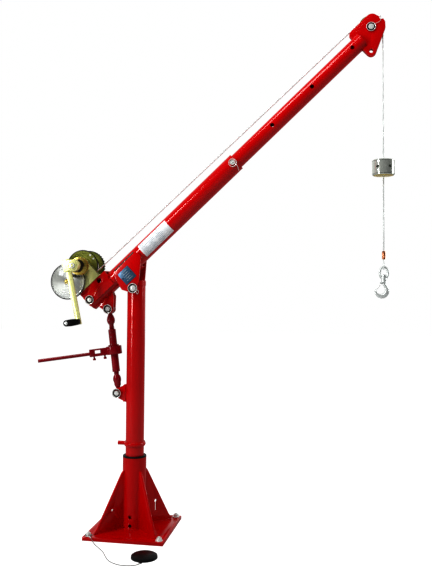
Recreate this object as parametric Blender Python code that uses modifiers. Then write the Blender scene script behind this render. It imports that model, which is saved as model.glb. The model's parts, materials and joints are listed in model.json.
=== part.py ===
"""Floor-mounted davit crane: base, turning mast, telescopic boom, hand winch, screw jack, hook.

Run with:  blender --background --python part.py
Metres, +Z up.  The origin is the centre of the base plate's underside, on the mast's axis, and
the boom points along +X.  Every moving group hangs on an empty that stands on its joint's axis.
"""

import math

import bmesh
import bpy
from mathutils import Matrix, Vector

# ---------------------------------------------------------------- driving dimensions (metres)
GAP = 0.0003                    # face-to-face gap between pieces that touch

PLATE_SIDE, PLATE_THICK = 0.386, 0.016
BOLT_SPACING = 0.340            # anchor bolt pitch, both ways
SOCKET_OD, SOCKET_ID, SOCKET_TOP = 0.1143, 0.1023, 0.352
GUSSET_TOP, GUSSET_FOOT, GUSSET_THICK = 0.290, 0.205, 0.010

MAST_OD, MAST_ID, MAST_TOP = 0.0889, 0.0737, 1.210
COLLAR_Z = 0.414
LUG_PIN = (-0.086, 0.659)       # lower jack pin: x, z

LUFF_PIVOT_Z = 1.172
BOOM_ANGLE = math.radians(43.3)
BOOM_LIFT = 0.1087              # boom axis above the luff pivot, square to the boom
BOOM_OD, BOOM_ID = 0.0889, 0.0779
BOOM_HEEL, BOOM_SLEEVE_END = -0.2226, 0.7834
INNER_OD, INNER_ID = 0.0730, 0.0640
INNER_START, INNER_END = 0.587, 1.606
PIN_STATION, HOLE_PITCH, HOLE_COUNT = 0.7664, 0.2588, 4
PIN_RADIUS = 0.0092

SHEAVE_X, SHEAVE_LIFT = 1.6759, 0.1227   # sheave axis in the boom's frame
SHEAVE_PITCH_R, SHEAVE_RIM_R = 0.0545, 0.0580
ROPE_R = 0.0032

DRUM_X, DRUM_LIFT = -0.1192, 0.2580      # drum and crank axis in the boom's frame
DRUM_ROPE_R = 0.0580            # rope centre on the drum
FLANGE_R = 0.0790
GEAR_MODULE = 0.0045
PINION_TEETH, BIG_TEETH = 8, 36          # crank pinion and the large gear on the lay shaft
LAY_TEETH, DRUM_TEETH = 9, 35            # lay shaft pinion and the drum gear
GEAR_CENTRES = 0.0990
LAY_DIRECTION = math.radians(186.3)      # from the crank axis to the lay shaft, boom's frame
PAWL_DIRECTION = math.radians(136.0)     # how far round the crank axis the pawl is set

WEIGHT_R, WEIGHT_TOP, WEIGHT_BOTTOM = 0.0515, 1.779, 1.706
FERRULE_TOP, FERRULE_BOTTOM = 1.352, 1.314
HOOK_SHANK_Z = 1.222

JACK_PIN = (-0.1708, 0.0178)    # upper jack pin in the boom's frame
BARREL_START, BARREL_END = 0.102, 0.311  # along the jack from its lower pin
LEVER_STATION = 0.208
LEVER_HEADING = math.radians(210.0)      # about the jack's axis, from its +X side

CAP_CENTRE, CAP_R, CAP_H = (0.146, -0.333), 0.0585, 0.014
LANYARD_R = 0.0015

PARTS = None
CUTTERS = None
MATERIALS = {}


# ---------------------------------------------------------------- scene helpers
def clear_scene():
    for obj in list(bpy.data.objects):
        bpy.data.objects.remove(obj, do_unlink=True)


def make_collections():
    global PARTS, CUTTERS
    PARTS = bpy.data.collections.new("davit_crane")
    CUTTERS = bpy.data.collections.new("cutters")
    bpy.context.scene.collection.children.link(PARTS)
    bpy.context.scene.collection.children.link(CUTTERS)


def material(name, colour, roughness, metallic):
    mat = bpy.data.materials.new(name)
    mat.use_nodes = True
    shader = mat.node_tree.nodes["Principled BSDF"]
    shader.inputs["Base Color"].default_value = (*colour, 1.0)
    shader.inputs["Roughness"].default_value = roughness
    shader.inputs["Metallic"].default_value = metallic
    MATERIALS[name] = mat


def make_materials():
    material("red_paint", (0.62, 0.01, 0.015), 0.28, 0.0)
    material("jack_paint", (0.30, 0.008, 0.02), 0.32, 0.0)
    material("clear_zinc", (0.74, 0.77, 0.76), 0.30, 1.0)
    material("yellow_zinc", (0.72, 0.66, 0.30), 0.35, 1.0)
    material("olive_zinc", (0.26, 0.28, 0.09), 0.38, 1.0)
    material("polished_steel", (0.78, 0.77, 0.74), 0.12, 1.0)
    material("galvanised", (0.70, 0.73, 0.72), 0.42, 1.0)
    material("wire_rope", (0.55, 0.57, 0.56), 0.45, 1.0)
    material("copper", (0.72, 0.36, 0.22), 0.30, 1.0)
    material("black_plastic", (0.015, 0.016, 0.016), 0.45, 0.0)
    material("blue_plate", (0.05, 0.14, 0.20), 0.35, 0.6)
    material("brake_lining", (0.36, 0.20, 0.08), 0.80, 0.0)


def axis_empty(name, location, tilt=0.0, parent=None):
    """An empty on a joint's axis; tilt turns its frame about -Y."""
    empty = bpy.data.objects.new(name, None)
    empty.location = location
    empty.rotation_euler = (0.0, -tilt, 0.0)
    empty.parent = parent
    PARTS.objects.link(empty)
    return empty


def add_part(name, data, mat, parent=None, location=(0, 0, 0), rotation=(0, 0, 0)):
    obj = bpy.data.objects.new(name, data)
    obj.location = location
    obj.rotation_euler = rotation
    obj.parent = parent
    data.materials.append(MATERIALS[mat])
    PARTS.objects.link(obj)
    return obj


def smooth(obj, angle=40.0):
    obj.data.shade_smooth()
    obj.data.set_sharp_from_angle(angle=math.radians(angle))


def mesh_from(bm, name):
    bmesh.ops.recalc_face_normals(bm, faces=bm.faces)
    mesh = bpy.data.meshes.new(name)
    bm.to_mesh(mesh)
    bm.free()
    return mesh


def add_box(bm, size, centre, turn=0.0):
    """A box in bm; turn rolls it about Y, positive from +X towards +Z."""
    matrix = Matrix.Translation(centre) @ Matrix.Rotation(-turn, 4, "Y")
    matrix = matrix @ Matrix.Diagonal((*size, 1.0))
    bmesh.ops.create_cube(bm, size=1.0, matrix=matrix)


AXIS_TURN = {
    "X": Matrix.Rotation(math.pi / 2, 4, "Y"),
    "Y": Matrix.Rotation(-math.pi / 2, 4, "X"),
    "Z": Matrix.Identity(4),
}


def add_rod(bm, radius, start, end, axis="Y", centre=(0, 0), sides=32, end_radius=None):
    """A round bar in bm along an axis, from start to end, at centre in the other two axes."""
    middle = (start + end) / 2
    if axis == "Y":
        place = (centre[0], middle, centre[1])
    elif axis == "Z":
        place = (centre[0], centre[1], middle)
    else:
        place = (middle, centre[0], centre[1])
    bmesh.ops.create_cone(
        bm, cap_ends=True, segments=sides, radius1=radius,
        radius2=radius if end_radius is None else end_radius, depth=end - start,
        matrix=Matrix.Translation(place) @ AXIS_TURN[axis])


def box_part(name, size, centre, mat, parent=None, bevel=0.0, turn=0.0):
    bm = bmesh.new()
    add_box(bm, size, centre, turn)
    obj = add_part(name, mesh_from(bm, name), mat, parent)
    if bevel:
        round_edges(obj, bevel)
    return obj


def rod_part(name, radius, start, end, mat, parent=None, axis="Y", centre=(0, 0), sides=32):
    bm = bmesh.new()
    add_rod(bm, radius, start, end, axis, centre, sides)
    obj = add_part(name, mesh_from(bm, name), mat, parent)
    smooth(obj)
    return obj


def round_edges(obj, width, segments=1):
    bevel = obj.modifiers.new("round_edges", "BEVEL")
    bevel.width = width
    bevel.segments = segments
    bevel.limit_method = "ANGLE"
    bevel.angle_limit = math.radians(50.0)


def cutter(bm, name):
    obj = bpy.data.objects.new("cut_" + name, mesh_from(bm, "cut_" + name))
    obj.hide_render = True
    obj.display_type = "WIRE"
    CUTTERS.objects.link(obj)
    return obj


def boolean(obj, tool, operation="DIFFERENCE"):
    mod = obj.modifiers.new(operation.lower(), "BOOLEAN")
    mod.operation = operation
    mod.object = tool
    mod.solver = "EXACT"


def place_tool(obj, bm, axis):
    """A cutter in obj's own frame; axis names the way a turned obj's profile was laid."""
    bmesh.ops.transform(bm, matrix=AXIS_TURN[axis].inverted(), verts=bm.verts)
    tool = cutter(bm, obj.name)
    tool.parent = obj
    return tool


def cut(obj, bm, axis="Z"):
    """Cuts the shape in bm, given in the frame that obj stands in, out of obj."""
    boolean(obj, place_tool(obj, bm, axis))


def fuse(obj, bm, axis="Z"):
    """Joins the shape in bm, given in the frame that obj stands in, onto obj."""
    boolean(obj, place_tool(obj, bm, axis), "UNION")


def turned(name, profile, mat, parent=None, location=(0, 0, 0), axis="Z", sides=30):
    """A turned piece: profile is (radius, height) down its outer side, closed on itself or on
    the axis, and its height runs along the axis."""
    bm = bmesh.new()
    points = [bm.verts.new((radius, 0.0, height)) for radius, height in profile]
    on_axis = profile[0][0] == 0.0 and profile[-1][0] == 0.0
    for a, b in zip(points, points[1:]):
        bm.edges.new((a, b))
    if not on_axis:
        bm.edges.new((points[-1], points[0]))
    mesh = bpy.data.meshes.new(name)
    bm.to_mesh(mesh)
    bm.free()
    rotation = AXIS_TURN[axis].to_euler()
    obj = add_part(name, mesh, mat, parent, location, rotation)
    screw = obj.modifiers.new("turn", "SCREW")
    screw.steps = sides
    screw.render_steps = sides
    screw.use_merge_vertices = True
    screw.merge_threshold = 0.00001
    screw.use_smooth_shade = False
    return obj


def tube_profile(outer, inner, low, high):
    return [(outer, high), (outer, low), (inner, low), (inner, high)]


def arc(centre, radius, start_deg, end_deg, count):
    """count + 1 points on an arc, angles from +X towards the second axis."""
    points = []
    for i in range(count + 1):
        angle = math.radians(start_deg + (end_deg - start_deg) * i / count)
        points.append((centre[0] + radius * math.cos(angle), centre[1] + radius * math.sin(angle)))
    return points


def circle(centre, radius, sides=20):
    return arc(centre, radius, 0.0, 360.0, sides)[:-1]


def plate_part(name, outlines, y_low, y_high, mat, parent=None):
    """A flat plate in the XZ plane: the first outline is its edge and the others are holes."""
    curve = bpy.data.curves.new(name, "CURVE")
    curve.dimensions = "2D"
    curve.fill_mode = "BOTH"
    curve.extrude = (y_high - y_low) / 2
    curve.resolution_u = 1
    for outline in outlines:
        spline = curve.splines.new("POLY")
        spline.points.add(len(outline) - 1)
        for point, (x, z) in zip(spline.points, outline):
            point.co = (x, z, 0.0, 1.0)
        spline.use_cyclic_u = True
    return add_part(name, curve, mat, parent, (0.0, (y_low + y_high) / 2, 0.0),
                    (math.pi / 2, 0.0, 0.0))


def solid_from_outlines(outlines, y_low, y_high):
    """The same plate as a bmesh, for pieces that are joined to others."""
    bm = bmesh.new()
    loops = []
    edges = []
    for outline in outlines:
        verts = [bm.verts.new((x, y_low, z)) for x, z in outline]
        loops.append(verts)
        edges += [bm.edges.new((a, b)) for a, b in zip(verts, verts[1:] + verts[:1])]
    bmesh.ops.triangle_fill(bm, use_beauty=True, edges=edges)
    made = bmesh.ops.extrude_face_region(bm, geom=list(bm.faces))
    moved = [g for g in made["geom"] if isinstance(g, bmesh.types.BMVert)]
    bmesh.ops.translate(bm, verts=moved, vec=(0.0, y_high - y_low, 0.0))
    return bm


def wire_part(name, points, radius, mat, parent=None, resolution=2):
    """A wire or rope along points, closed at both ends."""
    curve = bpy.data.curves.new(name, "CURVE")
    curve.dimensions = "3D"
    curve.bevel_depth = radius
    curve.bevel_resolution = resolution
    curve.use_fill_caps = True
    spline = curve.splines.new("POLY")
    spline.points.add(len(points) - 1)
    for point, co in zip(spline.points, points):
        point.co = (*co, 1.0)
    return add_part(name, curve, mat, parent)


def resample(points, spacing):
    """Points every spacing along a smooth curve through the given points."""
    route = [Vector(p) for p in points]
    route = [route[0] * 2 - route[1]] + route + [route[-1] * 2 - route[-2]]
    fine = []
    for i in range(1, len(route) - 2):
        a, b, c, d = route[i - 1:i + 3]
        for k in range(24):
            t = k / 24
            fine.append(0.5 * (2 * b + (c - a) * t + (2 * a - 5 * b + 4 * c - d) * t * t
                               + (3 * b - a - 3 * c + d) * t ** 3))
    fine.append(route[-2])
    total = sum((q - p).length for p, q in zip(fine, fine[1:]))
    count = max(2, round(total / spacing))
    out, walked, target = [fine[0]], 0.0, total / count
    for p, q in zip(fine, fine[1:]):
        step = (q - p).length
        while walked + step >= target - 1e-9 and len(out) < count:
            out.append(p.lerp(q, (target - walked) / step))
            target += total / count
        walked += step
    out.append(fine[-1])
    return out


def pin_profile(radius, start, end, head_radius=None, head=0.006):
    """A headed pin along its axis; the head is at the low end."""
    head_radius = head_radius or radius * 1.45
    return [(0.0, end), (radius, end), (radius, start + head), (head_radius, start + head),
            (head_radius, start), (0.0, start)]


def y_pin(name, x, z, start, end, radius, mat, parent, head_radius=None):
    """A headed pin across the crane, with its head on the -Y side."""
    obj = turned(name, pin_profile(radius, start, end, head_radius), mat, parent,
                 (x, 0.0, z), "Y", 16)
    return obj


def gear_outline(teeth, module, centre, phase=0.0):
    """A stub-tooth gear outline: the tips stop at the pitch circle, so mating gears clear."""
    tip = teeth * module / 2 - 0.0002
    root = tip - 1.1 * module
    points = []
    for i in range(teeth):
        for share, radius in ((-0.5, root), (-0.16, tip), (0.16, tip)):
            angle = phase + (i + share) * 2 * math.pi / teeth
            points.append((centre[0] + radius * math.cos(angle),
                           centre[1] + radius * math.sin(angle)))
    return points


# ---------------------------------------------------------------- base
def build_base():
    half = PLATE_SIDE / 2
    bm = bmesh.new()
    add_box(bm, (PLATE_SIDE, PLATE_SIDE, PLATE_THICK), (0, 0, PLATE_THICK / 2))
    plate = add_part("base_plate", mesh_from(bm, "base_plate"), "red_paint")
    holes = bmesh.new()
    for sx in (-1, 1):
        for sy in (-1, 1):
            add_rod(holes, 0.0092, -0.01, PLATE_THICK + 0.01, "Z",
                    (sx * BOLT_SPACING / 2, sy * BOLT_SPACING / 2), 16)
    cut(plate, holes)
    build_socket()
    build_gusset("gusset_front_left", math.radians(225), "round")
    build_gusset("gusset_front_right", math.radians(315), None)
    build_gusset("gusset_back_right", math.radians(45), "keyhole")
    build_gusset("gusset_back_left", math.radians(135), None)
    build_anchor_bolts()
    build_bushings()
    return half


def build_socket():
    low = PLATE_THICK + GAP
    socket = turned("socket_tube",
                    tube_profile(SOCKET_OD / 2, SOCKET_ID / 2, low, SOCKET_TOP), "red_paint")
    holes = bmesh.new()
    for z in (0.0330, 0.0750):
        add_rod(holes, 0.0085, -0.080, -0.020, "Y", (-0.004, z), 20)
    cut(socket, holes)


def build_gusset(name, heading, opening):
    """A triangular web from the socket towards a corner of the plate, with its own opening."""
    inner = SOCKET_OD / 2 + GAP
    low = PLATE_THICK + GAP
    edge = [(inner, low), (GUSSET_FOOT + 0.008, low), (GUSSET_FOOT + 0.006, low + 0.005),
            (GUSSET_FOOT - 0.010, low + 0.026), (inner + 0.014, GUSSET_TOP - 0.012),
            (inner + 0.004, GUSSET_TOP), (inner, GUSSET_TOP)]
    outlines = [edge]
    centre, radius, half_slot, slot_low = (0.119, 0.119), 0.0075, 0.0035, 0.072
    if opening == "round":
        outlines.append(circle((centre[0], centre[1] - 0.006), 0.0065, 14))
    if opening == "keyhole":
        lip = math.degrees(math.asin(half_slot / radius))
        keyhole = arc(centre, radius, -90 + lip, 270 - lip, 14)
        outlines.append(keyhole + arc((centre[0], slot_low), half_slot, 180, 360, 6))
    web = plate_part(name, outlines, -GUSSET_THICK / 2, GUSSET_THICK / 2, "red_paint")
    # The plate stands in the XZ plane; turning it about Z points it at its corner.
    web.rotation_euler = (math.pi / 2, 0.0, heading)


def build_anchor_bolts():
    """Four anchor bolts: a stud through the plate, with its washer and nut."""
    low = PLATE_THICK + GAP
    for name, sx, sy in (("front_left", -1, -1), ("front_right", 1, -1),
                         ("back_right", 1, 1), ("back_left", -1, 1)):
        bolt = turned("anchor_bolt_" + name, [
            (0.0, low + 0.0185), (0.0066, low + 0.0185), (0.0076, low + 0.0172),
            (0.0076, low + 0.0030), (0.0170, low + 0.0030), (0.0170, low), (0.0076, low),
            (0.0076, 0.0010), (0.0, 0.0010),
        ], "clear_zinc", None, (sx * BOLT_SPACING / 2, sy * BOLT_SPACING / 2, 0.0), "Z", 14)
        nut = bmesh.new()
        add_rod(nut, 0.0130, low + 0.0020, low + 0.0125, "Z", (0, 0), 6)
        fuse(bolt, nut)


def build_bushings():
    """The flanged bush at the socket's rim and the pad that the mast stands on."""
    bore, sleeve = MAST_OD / 2 + 0.0006, SOCKET_ID / 2 - GAP
    rim = SOCKET_TOP + GAP
    turned("upper_bushing", [
        (SOCKET_OD / 2 - 0.002, rim + 0.007), (SOCKET_OD / 2, rim + 0.005), (SOCKET_OD / 2, rim),
        (sleeve, rim), (sleeve, rim - 0.060), (bore, rim - 0.060), (bore, rim + 0.007),
    ], "black_plastic")
    low = PLATE_THICK + GAP
    turned("lower_bushing", [
        (sleeve, low + 0.030), (sleeve, low), (0.0, low), (0.0, low + 0.008),
        (bore, low + 0.008), (bore, low + 0.030),
    ], "black_plastic")


LANYARD_ROUTE = [
    (-0.1590, -0.1880, 0.0200), (-0.1500, -0.1965, 0.0190), (-0.1400, -0.2060, 0.0125),
    (-0.1270, -0.2200, 0.0050), (-0.1100, -0.2400, 0.0021), (-0.0800, -0.2740, 0.0020),
    (-0.0500, -0.3110, 0.0020), (-0.0290, -0.3470, 0.0020), (-0.0099, -0.3790, 0.0020),
    (0.0100, -0.4040, 0.0020), (0.0338, -0.4220, 0.0020), (0.0560, -0.4330, 0.0020),
    (0.0787, -0.4380, 0.0020), (0.1096, -0.4350, 0.0020), (0.1360, -0.4240, 0.0024),
    (0.1480, -0.4110, 0.0040),
]


def build_cap():
    """The socket's cap, lying on the floor on its lanyard."""
    x, y = CAP_CENTRE
    cap = turned("socket_cap", [
        (0.0, CAP_H), (CAP_R - 0.006, CAP_H - 0.0012), (CAP_R - 0.001, CAP_H - 0.0045),
        (CAP_R, 0.0002), (0.0, 0.0002),
    ], "black_plastic", None, (x, y, 0.0))
    tab = bmesh.new()
    add_box(tab, (0.0120, 0.0190, 0.0040), (0.0020, -CAP_R - 0.0060, 0.0040))
    fuse(cap, tab)
    wire_part("cap_lanyard", resample(LANYARD_ROUTE, 0.0110), LANYARD_R, "wire_rope")


# ---------------------------------------------------------------- mast
def build_mast():
    axis = axis_empty("mast_axis", (0, 0, 0))
    low = PLATE_THICK + 2 * GAP + 0.008
    band = MAST_OD / 2 + 0.0020
    mast = turned("mast_tube", [
        (MAST_OD / 2, MAST_TOP), (MAST_OD / 2, MAST_TOP - 0.0035), (band, MAST_TOP - 0.0045),
        (band, MAST_TOP - 0.0255), (MAST_OD / 2, MAST_TOP - 0.0265), (MAST_OD / 2, low),
        (MAST_ID / 2, low), (MAST_ID / 2, MAST_TOP),
    ], "red_paint", axis)
    hole = bmesh.new()
    add_rod(hole, 0.0102, -0.08, 0.08, "Y", (0.0, LUFF_PIVOT_Z), 24)
    cut(mast, hole)
    build_collar(axis)
    build_lug(axis)
    y_pin("luff_pivot_pin", 0.0, LUFF_PIVOT_Z, -0.0690, 0.0640, 0.0098, "clear_zinc", axis, 0.0140)
    y_pin("jack_lower_pin", LUG_PIN[0], LUG_PIN[1], -0.0330, 0.0300, 0.0078, "clear_zinc", axis,
          0.0120)
    return axis


def build_collar(axis):
    """The turning handle: a half-round collar round the mast with a short bar."""
    inner = MAST_OD / 2 + GAP
    bead = [(inner + 0.0082 * math.cos(math.radians(a)), COLLAR_Z + 0.0110 * math.sin(math.radians(a)))
            for a in range(90, -91, -36)]
    collar = turned("mast_collar", bead, "red_paint", axis)
    bar = bmesh.new()
    add_rod(bar, 0.0095, -0.0840, -inner - 0.003, "X", (0.0, COLLAR_Z), 20)
    fuse(collar, bar)


def build_lug(axis):
    """Two cheeks on the mast that hold the jack's lower eye."""
    x, z = LUG_PIN
    root = -MAST_OD / 2 - GAP
    edge = arc((x, z), 0.0225, 90, 252, 14)
    edge += [(root, z - 0.042), (root, z + 0.040)]
    bm = bmesh.new()
    for y in (-0.0185, 0.0115):
        cheek = solid_from_outlines([edge, circle((x, z), 0.0082)], y, y + 0.0070)
        merge_into(bm, cheek)
    # The back plate is curved to the mast, and joins the cheeks.
    lug = add_part("jack_lug", mesh_from(bm, "jack_lug"), "red_paint", axis)
    back = bmesh.new()
    add_box(back, (0.012, 0.037, 0.082), (root - 0.0060, 0.0, z - 0.001))
    fuse(lug, back)
    bore = bmesh.new()
    add_rod(bore, MAST_OD / 2 + 2 * GAP, z - 0.10, z + 0.10, "Z", (0, 0), 72)
    cut(lug, bore)


def merge_into(bm, other):
    """Adds another bmesh's shape to bm."""
    mesh = bpy.data.meshes.new("merge")
    other.to_mesh(mesh)
    other.free()
    bm.from_mesh(mesh)
    bpy.data.meshes.remove(mesh)


# ---------------------------------------------------------------- boom
def build_boom(mast_axis):
    frame = axis_empty("luff_axis", (0, 0, LUFF_PIVOT_Z), BOOM_ANGLE, mast_axis)
    tube = turned("boom_outer_tube",
                  tube_profile(BOOM_OD / 2, BOOM_ID / 2, BOOM_HEEL, BOOM_SLEEVE_END),
                  "red_paint", frame, (0, 0, BOOM_LIFT), "X")
    holes = bmesh.new()
    add_rod(holes, 0.0099, -0.08, 0.08, "Y", (PIN_STATION, 0), 14)
    add_rod(holes, 0.0072, -0.08, 0.08, "Y", (BOOM_HEEL + 0.021, 0), 14)
    cut(tube, holes, "X")
    build_saddle(frame)
    build_jack_ears(frame)
    build_heel(frame)
    build_nameplate(frame)
    build_winch_frame(frame)
    build_rope_run(frame)
    return frame


def build_saddle(frame):
    """Two side plates that carry the boom on the luff pivot, joined by a web under the tube."""
    z0 = BOOM_LIFT
    edge = [(-0.0290, z0 + 0.0080), (-0.0230, z0 + 0.0150), (0.1240, z0 + 0.0170),
            (0.1320, z0 + 0.0020), (0.1340, z0 - 0.0200), (0.0420, z0 - 0.1040)]
    edge += arc((0.0, 0.0), 0.0250, -10, -160, 12)
    edge += [(-0.0480, 0.0330), (-0.0440, 0.0560)]
    bm = bmesh.new()
    for y in (-0.0570, 0.0478):
        cheek = solid_from_outlines([edge, circle((0.0, 0.0), 0.0101, 24)], y, y + 0.0092)
        merge_into(bm, cheek)
    saddle = add_part("saddle", mesh_from(bm, "saddle"), "red_paint", frame)
    web = bmesh.new()
    add_box(web, (0.110, 0.100, 0.0045), (0.040, 0.0, z0 - BOOM_OD / 2 - GAP - 0.00225))
    fuse(saddle, web)


def build_jack_ears(frame):
    """Two ears under the boom's heel that hold the jack's upper pin."""
    x, z = JACK_PIN
    under = BOOM_LIFT - BOOM_OD / 2
    edge = arc((x, z), 0.0250, 150, 330, 16)
    edge += [(-0.1080, under - 0.0180), (-0.1020, under + 0.0080), (-0.2030, under + 0.0080)]
    bm = bmesh.new()
    for y in (-0.0200, 0.0120):
        ear = solid_from_outlines([edge, circle((x, z), 0.0076)], y, y + 0.0080)
        merge_into(bm, ear)
    ears = add_part("jack_ears", mesh_from(bm, "jack_ears"), "red_paint", frame)
    back = bmesh.new()
    add_box(back, (0.101, 0.040, 0.010), (-0.1525, 0.0, under + 0.0010))
    fuse(ears, back)
    bore = bmesh.new()
    add_rod(bore, BOOM_OD / 2 + 2 * GAP, -0.30, 0.10, "X", (0, BOOM_LIFT), 72)
    cut(ears, bore)
    y_pin("jack_upper_pin", x, z, -0.0340, 0.0310, 0.0070, "clear_zinc", frame, 0.0120)


HEEL_TOP = BOOM_LIFT + 0.0557


def build_heel(frame):
    """The winch saddle: an upside-down channel over the boom's heel, and its through bolt."""
    low, wall, half = BOOM_LIFT - 0.0240, 0.0055, 0.0515
    start, end = BOOM_HEEL + 0.0005, -0.0520
    middle, length = (start + end) / 2, end - start
    bm = bmesh.new()
    add_box(bm, (length, 2 * half, HEEL_TOP - low), (middle, 0.0, (HEEL_TOP + low) / 2))
    channel = add_part("winch_channel", mesh_from(bm, "winch_channel"), "red_paint", frame)
    inside = bmesh.new()
    add_box(inside, (length + 0.02, 2 * (half - wall), HEEL_TOP - wall - low + 0.02),
            (middle, 0.0, (HEEL_TOP - wall + low) / 2 - 0.01))
    cut(channel, inside)
    holes = bmesh.new()
    add_rod(holes, 0.0072, -0.08, 0.08, "Y", (BOOM_HEEL + 0.021, BOOM_LIFT), 14)
    add_rod(holes, 0.0120, -0.08, -0.03, "Y", (-0.1040, BOOM_LIFT + 0.0395), 24)
    cut(channel, holes)
    # Clear of the saddle's side plates, the channel's flanges stop short of them.
    notch = bmesh.new()
    add_box(notch, (0.080, 0.120, 0.100), (-0.0520 + 0.0330, 0.0, BOOM_LIFT - 0.0280))
    cut(channel, notch)
    y_pin("heel_bolt", BOOM_HEEL + 0.021, BOOM_LIFT, -0.0590, 0.0570, 0.0068, "clear_zinc", frame,
          0.0115)


def build_nameplate(frame):
    """A small square plate on the saddle's near side."""
    box_part("nameplate", (0.0670, 0.0012, 0.0690), (0.0195, -0.0579, BOOM_LIFT - 0.0410),
             "blue_plate", frame)


def lay_axis():
    return (DRUM_X + GEAR_CENTRES * math.cos(LAY_DIRECTION),
            DRUM_LIFT + GEAR_CENTRES * math.sin(LAY_DIRECTION))


def build_winch_frame(frame):
    """The winch's base and two uprights, and the gear guard."""
    lay = lay_axis()
    base = HEEL_TOP + GAP
    right = -0.0816
    edge = [(-0.2130, base), (right, base), (right, DRUM_LIFT - 0.020)]
    edge += arc((DRUM_X, DRUM_LIFT), 0.0400, -8, 95, 10)
    edge += arc(lay, 0.0260, 95, 200, 10)
    bm = bmesh.new()
    near_holes = [circle((DRUM_X, DRUM_LIFT), 0.0096, 18), circle(lay, 0.0083, 18)]
    far_holes = [circle((DRUM_X, DRUM_LIFT), 0.0165, 18), circle(lay, 0.0083, 18)]
    merge_into(bm, solid_from_outlines([edge, *near_holes], -0.0560, -0.0512))
    merge_into(bm, solid_from_outlines([edge, *far_holes], 0.0512, 0.0560))
    winch = add_part("winch_frame", mesh_from(bm, "winch_frame"), "yellow_zinc", frame)
    foot = bmesh.new()
    add_box(foot, (0.1314, 0.1120, 0.0048), (-0.1473, 0.0, base + 0.0024))
    fuse(winch, foot)
    build_gear_guard(frame, lay)


def build_gear_guard(frame, lay):
    """A round cup over the large gear, cut away beside the crank's pinion."""
    cup = turned("gear_guard", [
        (0.0865, -0.0575), (0.0845, -0.0575), (0.0845, -0.0730), (0.0100, -0.0730),
        (0.0100, -0.0750), (0.0850, -0.0750), (0.0865, -0.0735),
    ], "clear_zinc", frame, (lay[0], 0.0, lay[1]), "Y", 36)
    bite = bmesh.new()
    add_rod(bite, 0.0300, -0.10, 0.10, "Y", (DRUM_X - lay[0], DRUM_LIFT - lay[1]), 32)
    cut(cup, bite, "Y")


def rope_tangent():
    """Where the rope leaves the drum's underside and meets the sheave's top, boom's frame."""
    drum, sheave = Vector((DRUM_X, DRUM_LIFT)), Vector((SHEAVE_X, SHEAVE_LIFT))
    between = sheave - drum
    swing = math.asin((DRUM_ROPE_R + SHEAVE_PITCH_R) / between.length)
    heading = math.atan2(between.y, between.x) + swing
    normal = Vector((-math.sin(heading), math.cos(heading)))
    return drum - normal * DRUM_ROPE_R, sheave + normal * SHEAVE_PITCH_R, heading


def build_rope_run(frame):
    start, end, _ = rope_tangent()
    points = []
    for i in range(9):
        x, z = start.lerp(end, 0.004 + 0.992 * i / 8)
        points.append((x, 0.0, z))
    wire_part("rope_run", points, ROPE_R, "wire_rope", frame)


# ---------------------------------------------------------------- boom extension and head
def build_extension(frame):
    slide = axis_empty("extension_axis", (PIN_STATION, 0, BOOM_LIFT), 0.0, frame)
    shift = -PIN_STATION
    tube = turned("boom_inner_tube",
                  tube_profile(INNER_OD / 2, INNER_ID / 2, INNER_START + shift, INNER_END + shift),
                  "red_paint", slide, (0, 0, 0), "X")
    holes = bmesh.new()
    for i in range(HOLE_COUNT):
        add_rod(holes, 0.0099, -0.08, 0.08, "Y", (i * HOLE_PITCH, 0.0), 14)
    cut(tube, holes, "X")
    slot = bmesh.new()
    add_box(slot, (0.0600, 0.0280, 0.1000), (INNER_END + shift - 0.0060, 0.0, 0.0))
    cut(tube, slot, "X")
    build_head(slide, shift)
    return slide


def build_head(slide, shift):
    """Two head plates, set in the tube's slotted end, with the pin's hole and a lower ear."""
    x0 = 0.1024 + shift         # the outline's stations count from above the mast's axis
    sx, sz = SHEAVE_X + shift, SHEAVE_LIFT - BOOM_LIFT
    ear = (1.4955 + x0, -0.0696)
    edge = [(1.4733 + x0, 0.0498), (1.4765 + x0, 0.0590), (1.4880 + x0, 0.0658)]
    edge += arc((1.5990 + x0, 0.0350), 0.0310, 90, 8, 5)
    edge += arc((1.6360 + x0, 0.0140), 0.0070, 100, 250, 4)
    edge += [(1.6403 + x0, 0.0027), (1.6365 + x0, -0.0142), (1.6185 + x0, -0.0352)]
    edge += arc(ear, 0.0235, -66, -180, 5)
    bm = bmesh.new()
    for y in (-0.0135, 0.0085):
        side = solid_from_outlines([edge, circle((sx, sz), 0.0098, 16), circle(ear, 0.0100, 14)],
                                   y, y + 0.0050)
        merge_into(bm, side)
    head = add_part("head_plates", mesh_from(bm, "head_plates"), "red_paint", slide)
    tie = bmesh.new()
    add_rod(tie, 0.0070, -0.0100, 0.0100, "Y", (1.5300 + x0, -0.0600), 14)
    fuse(head, tie)
    y_pin("sheave_pin", sx, sz, -0.0205, 0.0190, 0.0094, "clear_zinc", slide, 0.0130)


def build_rope_over_sheave(slide):
    """The rope round the first part of the sheave, up to where the falling part takes over."""
    _, _, heading = rope_tangent()
    centre = (SHEAVE_X - PIN_STATION, SHEAVE_LIFT - BOOM_LIFT)
    first = math.degrees(heading) + 90.0 - 0.8
    last = 45.0 - math.degrees(BOOM_ANGLE) + 0.6
    points = [(x, 0.0, z) for x, z in arc(centre, SHEAVE_PITCH_R, first, last, 12)]
    wire_part("rope_over_sheave", points, ROPE_R, "wire_rope", slide)


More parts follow.
